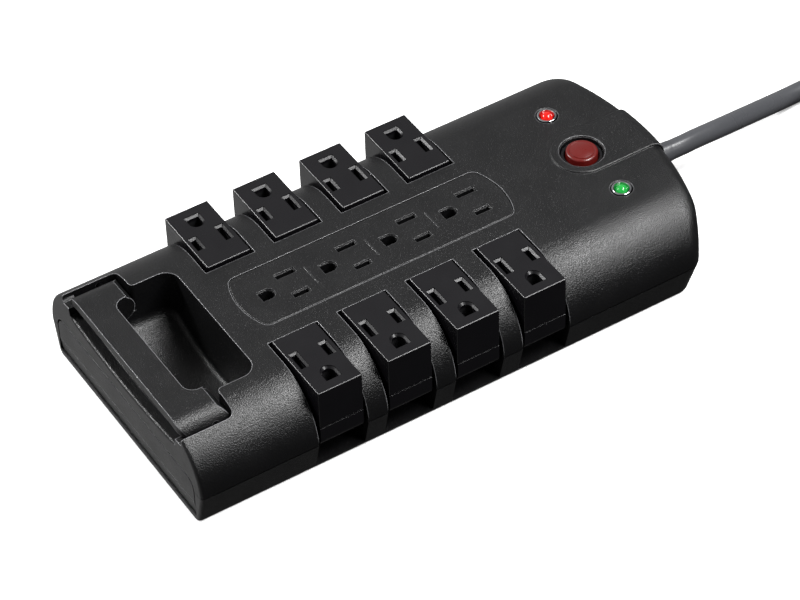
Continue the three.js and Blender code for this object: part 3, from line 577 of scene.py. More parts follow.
# Half width and reach of the bowed end at a height, both moved in by an inset.
def sectionAt(z, inset=0.0):
    h = housing
    lean = (h["halfWidth"] - h["halfBase"]) / h["seam"]
    if z < h["seam"]:
        inward = lean * (h["seam"] - z)
        foot = 0.0
        if inset == 0 and z < h["foot"]:
            foot = h["foot"] - math.sqrt(max(0, h["foot"] ** 2 - (h["foot"] - z) ** 2))
        return h["halfWidth"] - inset - inward - foot, h["right"] - inset - inward - foot
    radius = h["shoulder"] - inset
    rise = min(z - h["seam"], radius)
    half = h["halfWidth"] - h["shoulder"] + math.sqrt(max(0, radius**2 - rise**2))
    edge = h["topEdge"]
    over = min(max(0, z - (h["top"] - inset - edge)), edge)
    return half, h["right"] - inset - edge + math.sqrt(max(0, edge**2 - over**2))


def planAt(z, inset=0.0):
    h = housing
    half, reach = sectionAt(z, inset)
    bow = h["endBow"] - (h["right"] - reach)
    corner = max(h["corner"] - inset, 1)
    centre = reach - bow
    filletY = half - corner
    filletX = centre + math.sqrt((bow - corner) ** 2 - filletY**2)
    turn = math.degrees(math.atan2(filletY, filletX - centre))
    left = h["left"] + (h["endWall"] if inset else 0)
    bend = h["leftCorner"]
    upper = [
        *arcPoints(centre, 0, bow, 0, turn, 16)[1:-1],
        *arcPoints(filletX, filletY, corner, turn, 90, 8),
        *[(filletX + (left + bend - filletX) * i / 24, half) for i in range(1, 24)],
        *arcPoints(left + bend, half - bend, bend, 90, 180, 4),
    ]
    return [(reach, 0), *upper, *flipped(upper)]


def housingLevels(low, high, inset=0.0):
    h = housing
    levels = {low, high}
    top = h["top"] - inset
    radius = h["shoulder"] - inset
    levels |= {h["seam"] + radius * math.sin(math.radians(a)) for a in range(0, 91, 3)}
    levels |= {top - h["topEdge"] + h["topEdge"] * math.sin(math.radians(a)) for a in range(0, 91, 10)}
    if not inset:
        levels |= {h["foot"] * (1 - math.cos(math.radians(a))) for a in range(0, 91, 18)}
    kept = []
    for z in sorted(levels):
        if low - 1e-6 <= z <= min(high, top) + 1e-6 and (not kept or z - kept[-1] > 0.02):
            kept.append(z)
    return kept


def housingSolid(low, high, inset=0.0, name="housing"):
    return stacked([(z, planAt(z, inset)) for z in housingLevels(low, high, inset)], name=name)


podFacts = {
    "count": 4,
    "first": -61.19,
    "pitch": 31.62,
    "width": 19.8,
    "face": 42.4,
    "bottom": 12.9,
    "inner": 24.8,
    "outer": 59.56,
    "pivotY": 40.7,
    "pivotZ": 23.2,
    "foot": 4.0,
    "wall": 1.6,
    "plate": 2.4,
    "trunnion": 3.0,
    "slotY": 39.45,
    "edge": 0.5,  # rounding of the cap's edges
    "flare": (0.85, 0.35, 0.8),  # of a slot at the face: how much wider, step, slope
}
pods = [
    (f"{side}_{i + 1}", sign, podFacts["first"] + i * podFacts["pitch"])
    for side, sign in (("front", -1), ("back", 1))
    for i in range(podFacts["count"])
]

pocketFacts = {"width": 22.6, "mouth": 23.8, "wall": 2.0}
footReach = podFacts["foot"] + math.hypot(
    podFacts["outer"] - podFacts["pivotY"] - podFacts["foot"],
    podFacts["pivotZ"] - podFacts["bottom"] - podFacts["foot"]
)


def facing(sign, outline):
    return [(sign * u, v) for u, v in outline]


def pocket(sign, x, grow=0.0):
    radius = footReach + 2 * gap + grow
    half = pocketFacts["width"] / 2 + grow
    inner = pocketFacts["mouth"] - grow
    outline = [
        (inner, farUp),
        (inner, housing["top"] - 3),
        *arcPoints(podFacts["pivotY"], podFacts["pivotZ"], radius, 180, 270, 16),
        (farOut, podFacts["pivotZ"] - radius),
        (farOut, farUp),
    ]
    return prism(facing(sign, outline), x - half, x + half, "x")


# The walls round all eight pockets and whatever else stands in a shell, trimmed to the shell's inside.
def innerWalls(low, posts=()):
    walls = pocket(*pods[0][1:], pocketFacts["wall"])
    others = [pocket(sign, x, pocketFacts["wall"]) for name, sign, x in pods[1:]]
    combine(walls, [*others, *posts], "UNION")
    return combine(walls, [core(low)], "INTERSECT")


def bearing(sign, x):
    radius = podFacts["trunnion"] + gap
    reach = pocketFacts["width"] / 2 + pocketFacts["wall"] + 0.5 + 2 * gap
    y = sign * podFacts["pivotY"]
    outline = [
        *arcPoints(y, podFacts["pivotZ"], radius, 0, 180, 12),
        (y - radius, housing["seam"] - 1),
        (y + radius, housing["seam"] - 1),
    ]
    return prism(outline, x - reach, x + reach, "x")


gripFacts = {
    "recessHalf": 47.5,
    "recessEnd": -101.2,
    "recessFloor": 27.2,
    "recessCorner": 3.0,
    "wellHalf": 34.0,
    "wellEnd": -82.6,
    "wellCorner": 6.5,
    "wellFloor": 10.5,
    "wellSide": 20.5,
    "wellFillet": 2.6,
    "wellWall": 2.0,
    "mouthRound": 2.0,
    "lip": 30.8,
    "dip": 3.0,
    "lipHalf": 42.0,
    "step": 34.6,
    "lipRound": 1.2,
    "barLeft": -123.5,
    "barRight": -111.5,
    "half": 45.5,
    "legInner": 30.0,
    "innerRound": 5.0,
    "ear": 6.4,
    "thickness": 3.8,
    "pivotX": -108.2,
    "pivotZ": 34.6,
    "pin": 1.5,
    "pinSeat": (46, 49.5),  # from where to where, to each side: in the housing
    "pinHole": (32.6, 46.5),  # and in the bar
    "roll": 8.0,  # over the tips of its legs
}


# The finger well, from the bottom up: its rings follow the scooped floor and round into the sides.
def fingerWell(grow=0.0):
    g = gripFacts
    left = housing["left"] + housing["endWall"] - grow
    right = g["wellEnd"] + grow
    half = g["wellHalf"] + grow
    rise = g["wellSide"] - g["wellFloor"]
    scoop = (g["wellHalf"] ** 2 + rise**2) / (2 * rise) + grow
    centreZ = g["wellFloor"] + scoop - grow
    radius, fillet = g["wellCorner"] + grow, g["wellFillet"]
    outline = roundedBox(left, -half, right, half, (radius, 1.2, 1.2, radius), 7)
    base = []
    for i, (x, y) in enumerate(outline):
        nx, ny = outline[(i + 1) % len(outline)]
        steps = max(1, int(math.hypot(nx - x, ny - y) / 3))
        base += [(x + (nx - x) * s / steps, y + (ny - y) * s / steps) for s in range(steps)]
    # The same count of points on every ring keeps the skin closed.
    rings = []
    for i in range(7):
        turn = math.radians(90 * i / 6)
        inset, lift = fillet * (1 - math.sin(turn)), fillet * (1 - math.cos(turn))
        level = []
        for x, y in base:
            cx = min(max(x, left + g["wellCorner"]), right - g["wellCorner"])
            cy = min(max(y, -half + g["wellCorner"]), half - g["wellCorner"])
            towards = Vector((cx - x, cy - y))
            move = towards.normalized() * inset if towards.length > 1e-6 else Vector((0, 0))
            px, py = (x if x < left + 2 else x + move.x), y + move.y
            z = centreZ - math.sqrt(max(0.1, scoop**2 - py**2)) + lift
            level.append((px, py, z))
        rings.append(level)
    rings.append([(x, y, farUp) for x, y in base])
    return skinWithFloor(rings, centreZ, scoop)


# The lowest ring is filled with rows of quads across the well, so that the scooped floor stays curved.
def skinWithFloor(rings, centreZ, scoop):
    verts, sides, ends = ringFaces(rings)
    piece = addPiece("cutter", verts, [ends[1], *sides])
    built = bmesh.new()
    built.from_mesh(piece.data)
    openEdges = [edge for edge in built.edges if len(edge.link_faces) == 1]
    filled = bmesh.ops.triangle_fill(built, edges=openEdges, use_beauty=True, use_dissolve=False)
    inside = [face for face in filled["geom"] if isinstance(face, bmesh.types.BMFace)]
    for y in (-30 + 2.5 * k for k in range(25)):
        edges, corners = {e for f in inside for e in f.edges}, {v for f in inside for v in f.verts}
        geom = [*inside, *edges, *corners]
        cut = bmesh.ops.bisect_plane(built, geom=geom, plane_co=(0, y, 0), plane_no=(0, 1, 0), dist=1e-4)
        inside = [face for face in cut["geom"] if isinstance(face, bmesh.types.BMFace)]
    floor = set(inside)
    rim = {v for face in built.faces if face not in floor for v in face.verts}
    for vert in {v for f in inside for v in f.verts} - rim:
        vert.co.z = centreZ - math.sqrt(max(0.1, scoop**2 - vert.co.y**2))
    bmesh.ops.recalc_face_normals(built, faces=built.faces)
    built.to_mesh(piece.data)
    built.free()
    return piece


def gripRecess(grow=0.0):
    g = gripFacts
    half = g["recessHalf"] + grow
    left = housing["left"] + (0.5 if grow else housing["endWall"])
    corner = g["recessCorner"] + grow
    outline = roundedBox(left, -half, g["recessEnd"] + grow, half, (corner, 0.3, 0.3, corner), 8)
    return prism(outline, g["recessFloor"] - grow, housing["top"] + 10)


# Rounds the two corners of material between the recess and the well.
def mouthCorners():
    g = gripFacts
    x, y, r = g["recessEnd"], g["wellHalf"], g["mouthRound"]
    corner = [(x - 0.5, y - 0.5), (x + r, y - 0.5), (x + r, y)]
    corner += [*arcPoints(x + r, y + r, r, 270, 180, 8), (x - 0.5, y + r)]
    sides = [[(u, sign * v) for u, v in corner] for sign in (-1, 1)]
    return [prism(outline, g["recessFloor"], housing["top"] + 10) for outline in sides]


def lipGap():
    g = gripFacts
    half = g["lipHalf"]
    bow = (half**2 + g["dip"] ** 2) / (2 * g["dip"])
    turn = math.degrees(math.asin(half / bow))
    dish = arcPoints(0, g["lip"] - g["dip"] + bow, bow, 270 - turn, 270 + turn, 40)
    top = housing["top"] + 10
    side = [
        (half + 0.6, g["step"]),
        (g["recessHalf"] - 1, g["step"]),
        (g["recessHalf"], g["step"] + 1),
        (g["recessHalf"], top),
    ]
    outline = [*dish, *side, *[(-u, v) for u, v in side[::-1]]]
    inner = housing["left"] + housing["endWall"] + 1
    return prism(outline, housing["left"] - 5, inner, "x")


# Rounds the outer top edge of the lip, where a palm rests.
def lipEdge():
    g = gripFacts
    half = g["lipHalf"] - 0.5
    bow = (g["lipHalf"] ** 2 + g["dip"] ** 2) / (2 * g["dip"])
    rings = []
    for i in range(41):
        y = -half + 2 * half * i / 40
        z = g["lip"] - g["dip"] + bow - math.sqrt(bow**2 - y**2)
        r = g["lipRound"] * min(1, (half - abs(y)) / 3 + 0.15)
        left = housing["left"]
        ring = [(left + r, z + 0.3), (left - 0.3, z + 0.3), (left - 0.3, z - r)]
        ring += [(u, v) for u, v in arcPoints(left + r, z - r, r, 180, 90, 6)]
        rings.append([(u, y, v) for u, v in ring])
    return skin("cutter", rings)


outletFacts = {
    "spacing": 12.7,
    "ground": 11.9,
    "width": 2.2,
    "neutral": 8.1,
    "hot": 6.6,
    "groundWidth": 5.2,
    "groundHeight": 5.9,
}


def slotOutline(length, grow):
    half, reach = outletFacts["width"] / 2 + grow, length / 2 + grow
    return [(half, -reach), (half, reach), (-half, reach), (-half, -reach)]


def groundOutline(grow):
    radius = outletFacts["groundWidth"] / 2 + grow
    top = outletFacts["groundHeight"] / 2 + grow
    return [*arcPoints(0, top - radius, radius, 0, 180, 20), (-radius, -top), (radius, -top)]


# The three openings of one outlet, each flared at the face by a short step and a slope.
def outletCutters(x, y, quarterTurns, face, bottom, flare, flat, slope):
    o = outletFacts
    spots = [
        (lambda grow: slotOutline(o["neutral"], grow), -o["spacing"] / 2, 0),
        (lambda grow: slotOutline(o["hot"], grow), o["spacing"] / 2, 0),
        (groundOutline, 0, -o["ground"]),
    ]
    turn = quarterTurns * math.pi / 2
    cos, sin = round(math.cos(turn)), round(math.sin(turn))
    depths = [(face + 1, flare), (face - flat, flare), (face - flat - slope, 0.0), (bottom, 0.0)]
    cutters = []
    for outline, dx, dy in spots:
        levels = []
        for z, grow in depths:
            moved = [(px + dx, py + dy) for px, py in outline(grow)]
            levels.append((z, [(x + cos * u - sin * v, y + sin * u + cos * v) for u, v in moved]))
        cutters.append(stacked(levels))
    return cutters


panelFacts = {
    "left": -70.9,
    "right": 52.1,
    "half": 15.3,
    "bow": 32.0,
    "corner": 4.0,
    "depth": 5.0,
    "flange": 2.0,
    "flangeThickness": 2.2,
    "first": -46.46,
    "pitch": 28.5,
    "count": 4,
    "flare": (0.45, 0.3, 0.55),
}


def panelOutline(grow=0.0):
    p = panelFacts
    half, bow, corner = p["half"] + grow, p["bow"] + grow, p["corner"] + grow

    def end(reach):
        centre = reach - bow
        filletY = half - corner
        filletX = centre + math.sqrt((bow - corner) ** 2 - filletY**2)
        turn = math.degrees(math.atan2(filletY, filletX - centre))
        return [
            *arcPoints(centre, 0, bow, 0, turn, 14),
            *arcPoints(filletX, filletY, corner, turn, 90, 10)[1:],
        ]

    right = end(p["right"] + grow)
    left = [(-x, y) for x, y in end(-p["left"] + grow)][::-1]
    upper = [*right, *left]
    return [*upper, *flipped(upper)[1:-1]]


buttonFacts = {
    "x": 92.0,
    "cap": 6.7,
    "well": 9.1,
    "ring": 13.0,
    "rise": 0.8,
    "top": 43.0,
    "skirt": 34.5,
    "stem": 2.6,
    "stemFoot": 24.0,
    "edge": 0.9,
    "bead": 1.7,
    "dome": 0.7,
    "mouth": ((0, 30), (0, 41.2), (1.4, 42.8)),  # of the well: how much wider, where
    "bevel": ((30, 0.0), (41.3, 0.0), (41.55, -0.12), (41.72, -0.35), (41.8, -0.8)),  # of the tab round it
    "guideSunk": 1.2,
    "guideFlange": 3.0,
}
lampFacts = {
    "x": 93.0,
    "y": 27.0,
    "hole": 4.5,
    "mouth": ((0, 30), (0, 40.6), (0.8, 41.4)),
    "ring": 4.2,
    "bead": 0.35,
    "lens": 2.4,
    "top": 42.2,
    "foot": 33.0,
}
reliefFacts = {"radius": 6.6, "flange": 1.8, "end": 137.0, "z": 19.7}
screwFacts = {
    "spots": ((-112, -43), (-112, 43), (104, -45), (104, 45)),
    "head": 3.5,
    "shank": 1.5,
    "headLow": 4.4,
    "headHigh": 7.2,
    "tip": 23.5,
    "post": 4.0,
    "pilot": 24,  # how high the bore in the post goes
    "sink": ((0.9, -1), (0.9, 0.4), (0.4, 0.9), (0.4, 7.5)),  # round the head: how much wider, where
    "taper": 0.94,
    "recess": 4.0,
    "recessWidth": 0.9,
    "recessDepth": 2.8,
}
baseFacts = {
    "boss": 4.6,
    "boardPost": ((3, 1), (3, 8.7), (1.2, 8.7), (1.2, 12.1)),  # radius at each height
    "boardPosts": ((59, -37), (59, 37), (74, -37), (74, 37)),
    "hangHoles": (-66, 60),  # keyholes to hang the strip by
    "hangHole": 4.6,
    "hangDepth": 3.2,
    "neck": 2.2,
    "neckLength": 11,
}
endPanelFacts = {
    "half": 55.0,
    "bottom": 2.2,
    "top": 21.5,
    "corner": 5.0,
    "thickness": 2.0,
    "crease": 9.2,
    "lean": 0.9,
    "margin": 0.6,
}


def endPanelOutline(shrink=0.0):
    e = endPanelFacts
    half, corner = e["half"] - shrink, e["corner"]
    return roundedBox(-half, e["bottom"] + shrink, half, e["top"] - shrink, (corner, corner, 1, 1), 8)


# What both halves of the housing leave open: the seat of the end cover and the way out for the cord.
def endOpenings():
    left, right = housing["left"], housing["right"]
    seat = prism(endPanelOutline(), left - 5, left + endPanelFacts["thickness"] + gap, "x")
    bore = rod(reliefFacts["radius"] + gap, right - 14, right + 10, (0, 0, reliefFacts["z"]), "x", 64)
    return [seat, bore]


# The raised tab: a ring round the button that runs on as a band over the cord end, with a sloping edge.
def raisedTab():
    b, h = buttonFacts, housing
    levels = []
    for z, grow in b["bevel"]:
        r = b["ring"] + grow
        outline = [*arcPoints(b["x"], 0, r, 90, 270, 40), (h["right"] + 10, -r), (h["right"] + 10, r)]
        levels.append((z, outline))
    tab = stacked(levels)
    raised = []
    for z in housingLevels(24, h["top"]):
        raised.append((z + (b["rise"] if z > 30 else 0), sectionAt(z)[1] + b["rise"]))
    centre = h["right"] - h["endBow"]
    profile = [(0, 24), *[(reach - centre, z) for z, reach in raised], (0, h["top"] + b["rise"])]
    bowed = lathe(profile, (centre, 0, 0), "z", 360)
    return combine(tab, [bowed], "INTERSECT")


# The housing's own space, a little inside its skin, which trims the walls that stand in it.
def core(low):
    left = housing["left"] + 0.5
    shifted = []
    for z in housingLevels(low, housing["top"] - 0.5):
        if z >= housing["top"] - 0.4:
            continue
        plan = planAt(z, 0.4)
        edge = min(x for x, y in plan)
        shifted.append((z, [(left if x < edge + 1.7 else x, y) for x, y in plan]))
    return stacked(shifted)


def makeUpperHousing():
    h, g, b, l, s = housing, gripFacts, buttonFacts, lampFacts, screwFacts
    seam = h["seam"] + gap / 2
    shell = housingSolid(seam, h["top"], name="upper_shell")
    combine(shell, [raisedTab()], "UNION")
    combine(shell, [housingSolid(seam - 2, h["top"], h["wall"])])
    posts = []
    for x, y in s["spots"]:
        top = g["recessFloor"] if x < 0 else h["top"] - 1
        posts.append(rod(s["post"], seam, top, (x, y, 0), segments=32))
    walls = innerWalls(seam, posts)
    bowl = combine(fingerWell(g["wellWall"]), [gripRecess(g["wellWall"])], "UNION")
    combine(bowl, [core(1)], "INTERSECT")
    combine(shell, [walls, bowl], "UNION")
    cutters = [pocket(sign, x) for name, sign, x in pods]
    cutters += [bearing(sign, x) for name, sign, x in pods]
    cutters += [fingerWell(), gripRecess(), *mouthCorners(), lipGap(), lipEdge()]
    cutters.append(prism(panelOutline(gap), h["top"] - h["wall"] - 1, h["top"] + 5))
    well = [(b["well"] + wider, z) for wider, z in b["mouth"]]
    cutters.append(lathe(well, (b["x"], 0, 0), "z", 96))
    hole = [(l["hole"] + wider, z) for wider, z in l["mouth"]]
    cutters += [lathe(hole, (l["x"], side * l["y"], 0), "z", 64) for side in (-1, 1)]
    near, far = g["pinSeat"]
    for low, high in ((-far, -near), (near, far)):
        cutters.append(rod(g["pin"] + snug, low, high, (g["pivotX"], 0, g["pivotZ"]), "y", 24))
    for x, y in s["spots"]:
        cutters.append(rod(s["shank"] + snug, seam - 1, s["pilot"], (x, y, 0), segments=24))
    combine(shell, [*cutters, *endOpenings()])
    names = ("upper_housing",)
    return finished(shell, "upper_shell", materials["housing"], "housing", names)


def makeLowerHousing():
    h, s, f = housing, screwFacts, baseFacts
    seam = h["seam"] - gap / 2
    shell = housingSolid(0, seam, name="lower_shell")
    combine(shell, [housingSolid(h["floor"], h["top"], h["wall"])])
    shadowLine = housingSolid(seam - h["lineHeight"], seam + 2, -0.5)
    combine(shadowLine, [housingSolid(seam - 2, seam + 4, h["lineDepth"])])
    combine(shell, [shadowLine])
    walls = innerWalls(0.4)
    combine(walls, [prism(roundedBox(-200, -90, 200, 90, 1, 2), -2, seam)], "INTERSECT")
    posts = [rod(f["boss"], 0.5, seam, (x, y, 0), segments=40) for x, y in s["spots"]]
    posts += [lathe(f["boardPost"], (x, y, 0), "z", 32) for x, y in f["boardPosts"]]
    combine(shell, [walls, *posts], "UNION")
    cutters = [pocket(sign, x) for name, sign, x in pods]
    cutters.append(fingerWell(gripFacts["wellWall"] + gap))
    for x, y in s["spots"]:
        sink = [(s["head"] + wider, z) for wider, z in s["sink"]]
        cutters.append(lathe(sink, (x, y, 0), "z", 40))
        cutters.append(rod(s["shank"] + 0.5, -1, seam + 1, (x, y, 0), segments=24))
    half, deep = f["neck"], f["hangDepth"]
    for x in f["hangHoles"]:
        neck = roundedBox(x, -half, x + f["neckLength"], half, (half, 0.01, 0.01, half), 8)
        hole = rod(f["hangHole"], -1, deep, (x, 0, 0), segments=48)
        cutters.append(combine(hole, [prism(neck, -1, deep)], "UNION"))
    combine(shell, [*cutters, *endOpenings()])
    # Small walls close the open end of each bearing under its trunnion.
    near, far = pocketFacts["width"] / 2 + 0.1, pocketFacts["width"] / 2 + pocketFacts["wall"] - 0.1
    reach = podFacts["trunnion"]
    top = podFacts["pivotZ"] - reach - gap
    keepers = []
    for name, sign, x in pods:
        y = sign * podFacts["pivotY"]
        for low, high in ((x - far, x - near), (x + near, x + far)):
            outline = [(low, y - reach), (high, y - reach), (high, y + reach), (low, y + reach)]
            keepers.append(prism(outline, h["seam"] - 3, top))
    combine(shell, keepers, "UNION")
    return finished(shell, "lower_shell", materials["shell"], "housing", ("lower_housing",))


# The cover over the handle end: its lower part leans in from a crease.
def makeEndPanel():
    e, left = endPanelFacts, housing["left"]
    cover = prism(endPanelOutline(e["margin"]), left, left + e["thickness"], "x")
    crease, foot = e["crease"], e["bottom"] - 1
    lean = [(left - 1, crease), (left, crease), (left + e["lean"], foot), (left - 1, foot)]
    groove = [(left - 1, crease - 0.3), (left + 0.6, crease), (left - 1, crease + 0.3)]
    combine(cover, [prism(lean, -70, 70, "y"), prism(groove, -70, 70, "y")])
    bevelled(cover, 0.35, 2, 50)
    return finished(cover, "end_cover", materials["shell"], "housing", ("end_panel",), 20)


dividerFacts = {"count": 3, "length": 10.5, "width": 0.55, "height": 0.3, "first": -38.2}


# Fine raised lines between the fixed outlets.
def dividerTree():
    d = dividerFacts
    sizes = {"Count": d["count"], "Pitch": panelFacts["pitch"], "Length": d["length"]}
    tree, inputs = emptyTree("outlet_dividers", {**sizes, "Width": d["width"], "Height": d["height"]})
    step = addNode(tree, "ShaderNodeCombineXYZ", links={"X": inputs["Pitch"]})
    start = {"Start Location": (d["first"], 0, housing["top"])}
    spots = addNode(tree, "GeometryNodeMeshLine", start, {"Count": inputs["Count"], "Offset": step})
    axes = {"X": inputs["Width"], "Y": inputs["Length"], "Z": inputs["Height"]}
    size = addNode(tree, "ShaderNodeCombineXYZ", links=axes)
    line = addNode(tree, "GeometryNodeMeshCube", links={"Size": size})
    copies = addNode(tree, "GeometryNodeInstanceOnPoints", links={"Points": spots, "Instance": line})
    return closeTree(tree, inputs, copies)


def makeOutletPanel():
    p, h = panelFacts, housing
    low = h["top"] - p["depth"]
    rim = [(h["top"], panelOutline(-0.25)), (h["top"] - 0.25, panelOutline()), (low, panelOutline())]
    face = stacked(rim[::-1], name="fixed_outlet_panel")
    combine(face, [prism(panelOutline(p["flange"]), low, low + p["flangeThickness"])], "UNION")
    cutters = []
    for i in range(p["count"]):
        x = p["first"] + i * p["pitch"]
        cutters += outletCutters(x, 0, 3, h["top"], low - 1, *p["flare"])
    combine(face, cutters)
    lines = grown("outlet_dividers", dividerTree(), materials["panel"])
    face = joined([face, lines], "fixed_outlet_panel")
    names = ("outlet_panel",)
    return finished(face, "fixed_outlet_panel", materials["panel"], "housing", names)


# Section across the strip of the bar's top: the housing's own crown, rolled over at the tips.
def barSection():
    g, h = gripFacts, housing
    roll, tip, radius = g["roll"], g["half"], h["shoulder"]
    y, z = h["halfWidth"] - radius, h["top"] - radius
    inner = math.sqrt((radius - roll) ** 2 - (tip - roll - y) ** 2)
    meet = math.degrees(math.atan2(inner, tip - roll - y))
    crown = arcPoints(y, z, radius, 90, meet, 10)
    return [(0, h["top"]), *crown, *arcPoints(tip - roll, z + inner, roll, meet, 0, 16)[1:]]


def makeGrip():
    g, h = gripFacts, housing
    low = g["pivotZ"] - g["ear"]
    half = [*barSection(), (g["half"], low)]
    solid = [*half[::-1], *[(-y, z) for y, z in half[1:]]]
    y, z = h["halfWidth"] - h["shoulder"], h["top"] - h["shoulder"]
    roof = arcPoints(y, z, h["shoulder"] - g["thickness"], 90, 20, 14)
    half = [(0, h["top"] - g["thickness"]), *roof]
    hollow = [*half[::-1], *[(-y, z) for y, z in half[1:]]]
    end, side, cut = g["recessEnd"] - 0.6, g["half"], 1.5
    corner, inner = g["innerRound"], g["legInner"]
    left, right = g["barLeft"] + corner, g["barRight"] + corner
    plan = [
        (end, -inner),
        *arcPoints(right, -inner + corner, corner, 270, 180, 12),
        *arcPoints(right, inner - corner, corner, 180, 90, 12),
        (end, inner),
        *arcPoints(end - cut, side + 2 - cut, cut, 0, 90, 1),
        *arcPoints(left, side - corner + 0.01, corner, 90, 180, 12),
        *arcPoints(left, -side + corner - 0.01, corner, 180, 270, 12),
        *arcPoints(end - cut, -side - 2 + cut, cut, 270, 360, 1),
    ]
    bar = prism(solid, g["barLeft"] - 1, end + 1, "x", "carry_bar")
    combine(bar, [prism(hollow, g["barLeft"] - 2, g["pivotX"] - 2, "x")])
    combine(bar, [prism(plan, 20, 50)], "INTERSECT")
    ear = [
        (g["barLeft"] - 1, 50),
        (g["barLeft"] - 1, low - 1),
        (g["pivotX"] - g["ear"] - 0.5, low - 1),
        *arcPoints(g["pivotX"], g["pivotZ"], g["ear"], 180, 360, 24),
        *arcPoints(g["pivotX"], h["top"] - g["ear"], g["ear"], 0, 60, 10),
        (g["pivotX"], 50),
    ]
    combine(bar, [prism(ear, -60, 60, "y")], "INTERSECT")
    left, right, top = g["barLeft"] - 2, g["pivotX"] - g["ear"], h["top"] - 8
    combine(bar, [prism([(left, 20), (right, 20), (right, top), (left, top)], -60, 60, "y")])
    bevelled(bar, 0.5, 2, 38)
    centre = (g["pivotX"], 0, g["pivotZ"])
    near, far = g["pinHole"]
    sides = ((near, far), (-far, -near))
    combine(bar, [rod(g["pin"] + gap, low, high, centre, "y", 32) for low, high in sides])
    return finished(bar, "carry_bar", materials["housing"], "grip", ("grip_bar",))


# Side outline of a pod, in Y and Z, moved in by an inset.
def podOutline(sign, inset, low, high):
    p = podFacts
    foot = p["bottom"] + inset
    inner, outer = p["inner"] + inset, p["outer"] - inset
    radius = max(p["foot"] - inset, 0.5)
    bottom = [(inner, foot), *arcPoints(outer - radius, foot + radius, radius, 270, 360, 12)]
    if low > foot:
        bottom = [(inner, low), (outer, low)]
    return facing(sign, [*bottom, (outer, high), (inner, high)])


def makePod(name, sign, x):
    p = podFacts
    half, wall, split, r = p["width"] / 2, p["wall"], p["pivotZ"], p["trunnion"]
    centre = (x, sign * p["pivotY"], split)
    inside = (x - half + wall, x + half - wall)
    cap = prism(podOutline(sign, 0, split + gap / 2, p["face"]), x - half, x + half, "x")
    bevelled(cap, p["edge"], 3, 50)
    hollow = prism(podOutline(sign, wall, 18, p["face"] - p["plate"]), *inside, "x")
    notch = rod(r + gap, -p["width"], p["width"], centre, "x", 40)
    quarterTurns = 0 if sign < 0 else 2
    cutters = outletCutters(x, sign * p["slotY"], quarterTurns, p["face"], split, *p["flare"])
    combine(cap, [hollow, notch, *cutters])
    finished(cap, "pod_face_" + name, materials["pod"], "pod_" + name, ("pod_cap_" + name,))
    base = prism(podOutline(sign, 0, 0, split - gap / 2), x - half, x + half, "x")
    bevelled(base, 0.35, 2, 50)
    combine(base, [prism(podOutline(sign, wall, 0, split + 1), *inside, "x")])
    reach = pocketFacts["width"] / 2 + pocketFacts["wall"] + 0.5
    stub = [(r, half - wall), (r, reach - 0.4), (r - 0.4, reach)]
    other = [(radius, -along) for radius, along in stub]
    combine(base, [lathe(end, centre, "x", 40) for end in (stub, other)], "UNION")
    finished(base, "pod_foot_" + name, materials["pod"], "pod_" + name, ("pod_base_" + name,))


makeUpperHousing()
makeLowerHousing()
makeEndPanel()
makeOutletPanel()
print("stage 3: housing shells, end cover and outlet panel")
makeGrip()
for name, sign, x in pods:
    makePod(name, sign, x)
print("stage 4: carry bar and pods")


# Red translucent cap with a shallow dome, and the black guide that it slides in.
def makeButton():
    b, h = buttonFacts, housing
    r, edge, dish = b["cap"], b["edge"], b["cap"] - b["bead"]
    rim = b["top"] - b["dome"] - edge
    side = [(r, b["skirt"]), *arcPoints(r - edge, rim, edge, 0, 100, 10)]
    groove = [(dish + 0.25, rim + edge - 0.22), (dish, rim + edge - 0.22)]
    dome = [(dish * (1 - i / 10), b["top"] - b["dome"] * (1 - i / 10) ** 2) for i in range(10)]
    stem = [(0, b["stemFoot"]), (b["stem"], b["stemFoot"]), (b["stem"], b["skirt"])]
    profile = [*stem, *side, *groove, *dome, (0, b["top"])]
    cap = lathe(profile, (b["x"], 0, 0), "z", 96)
    names = ("power_button",)
    finished(cap, "power_button_cap", materials["buttonRed"], "button", names, 50)
    inner, outer, under = r + gap, b["well"] - gap, h["top"] - h["wall"] - gap
    top, flange = h["top"] - b["guideSunk"], outer + b["guideFlange"]
    foot = [(inner, under - 4), (flange, under - 4), (flange, under), (outer, under)]
    rim = [(outer, top - 0.3), (outer - 0.3, top), (inner + 0.5, top), (inner, top - 0.5)]
    guide = lathe([*foot, *rim, (inner, under - 4)], (b["x"], 0, 0), "z", 96)
    finished(guide, "button_guide_ring", materials["pod"], "housing", ("button_guide",))


def makeLamp(side, sign):
    l, top = lampFacts, housing["top"]
    inner, ring, bead = l["lens"] + gap, l["ring"], l["bead"]
    profile = [
        (inner, top - 5),
        (ring, top - 5),
        (ring, top),
        *arcPoints(ring - bead, top - 0.05, bead, 0, 90, 4),
        (ring - 0.75, top + 0.3),
        (ring - 0.95, top),
        (inner + 0.15, top - 1.1),
        (inner, top - 1.5),
        (inner, top - 5),
    ]
    at = (l["x"], sign * l["y"], 0)
    bezel = lathe(profile, at, "z", 64)
    names = ("indicator_ring_" + side,)
    finished(bezel, "lamp_bezel_" + side, materials["brightTrim"], "housing", names)
    shoulder = l["top"] - l["lens"] * 0.8
    turns = [math.radians(a) for a in range(0, 90, 9)]
    dome = [(l["lens"] * math.cos(a), shoulder + (l["top"] - shoulder) * math.sin(a)) for a in turns]
    lens = lathe([(0, l["foot"]), (l["lens"], l["foot"]), *dome, (0, l["top"])], at, "z", 48)
    finish, slot = ("lensRed", "lens_red") if sign > 0 else ("lensGreen", "lens_green")
    names = ("indicator_lens_" + side,)
    finished(lens, "lamp_lens_" + side, materials[finish], "housing", names, 50)


makeButton()
makeLamp("back", 1)
makeLamp("front", -1)

neckRibs = {"first": 248.5, "count": 5, "pitch": 2.3, "width": 1.3, "radius": 4.75, "grow": 0.4}


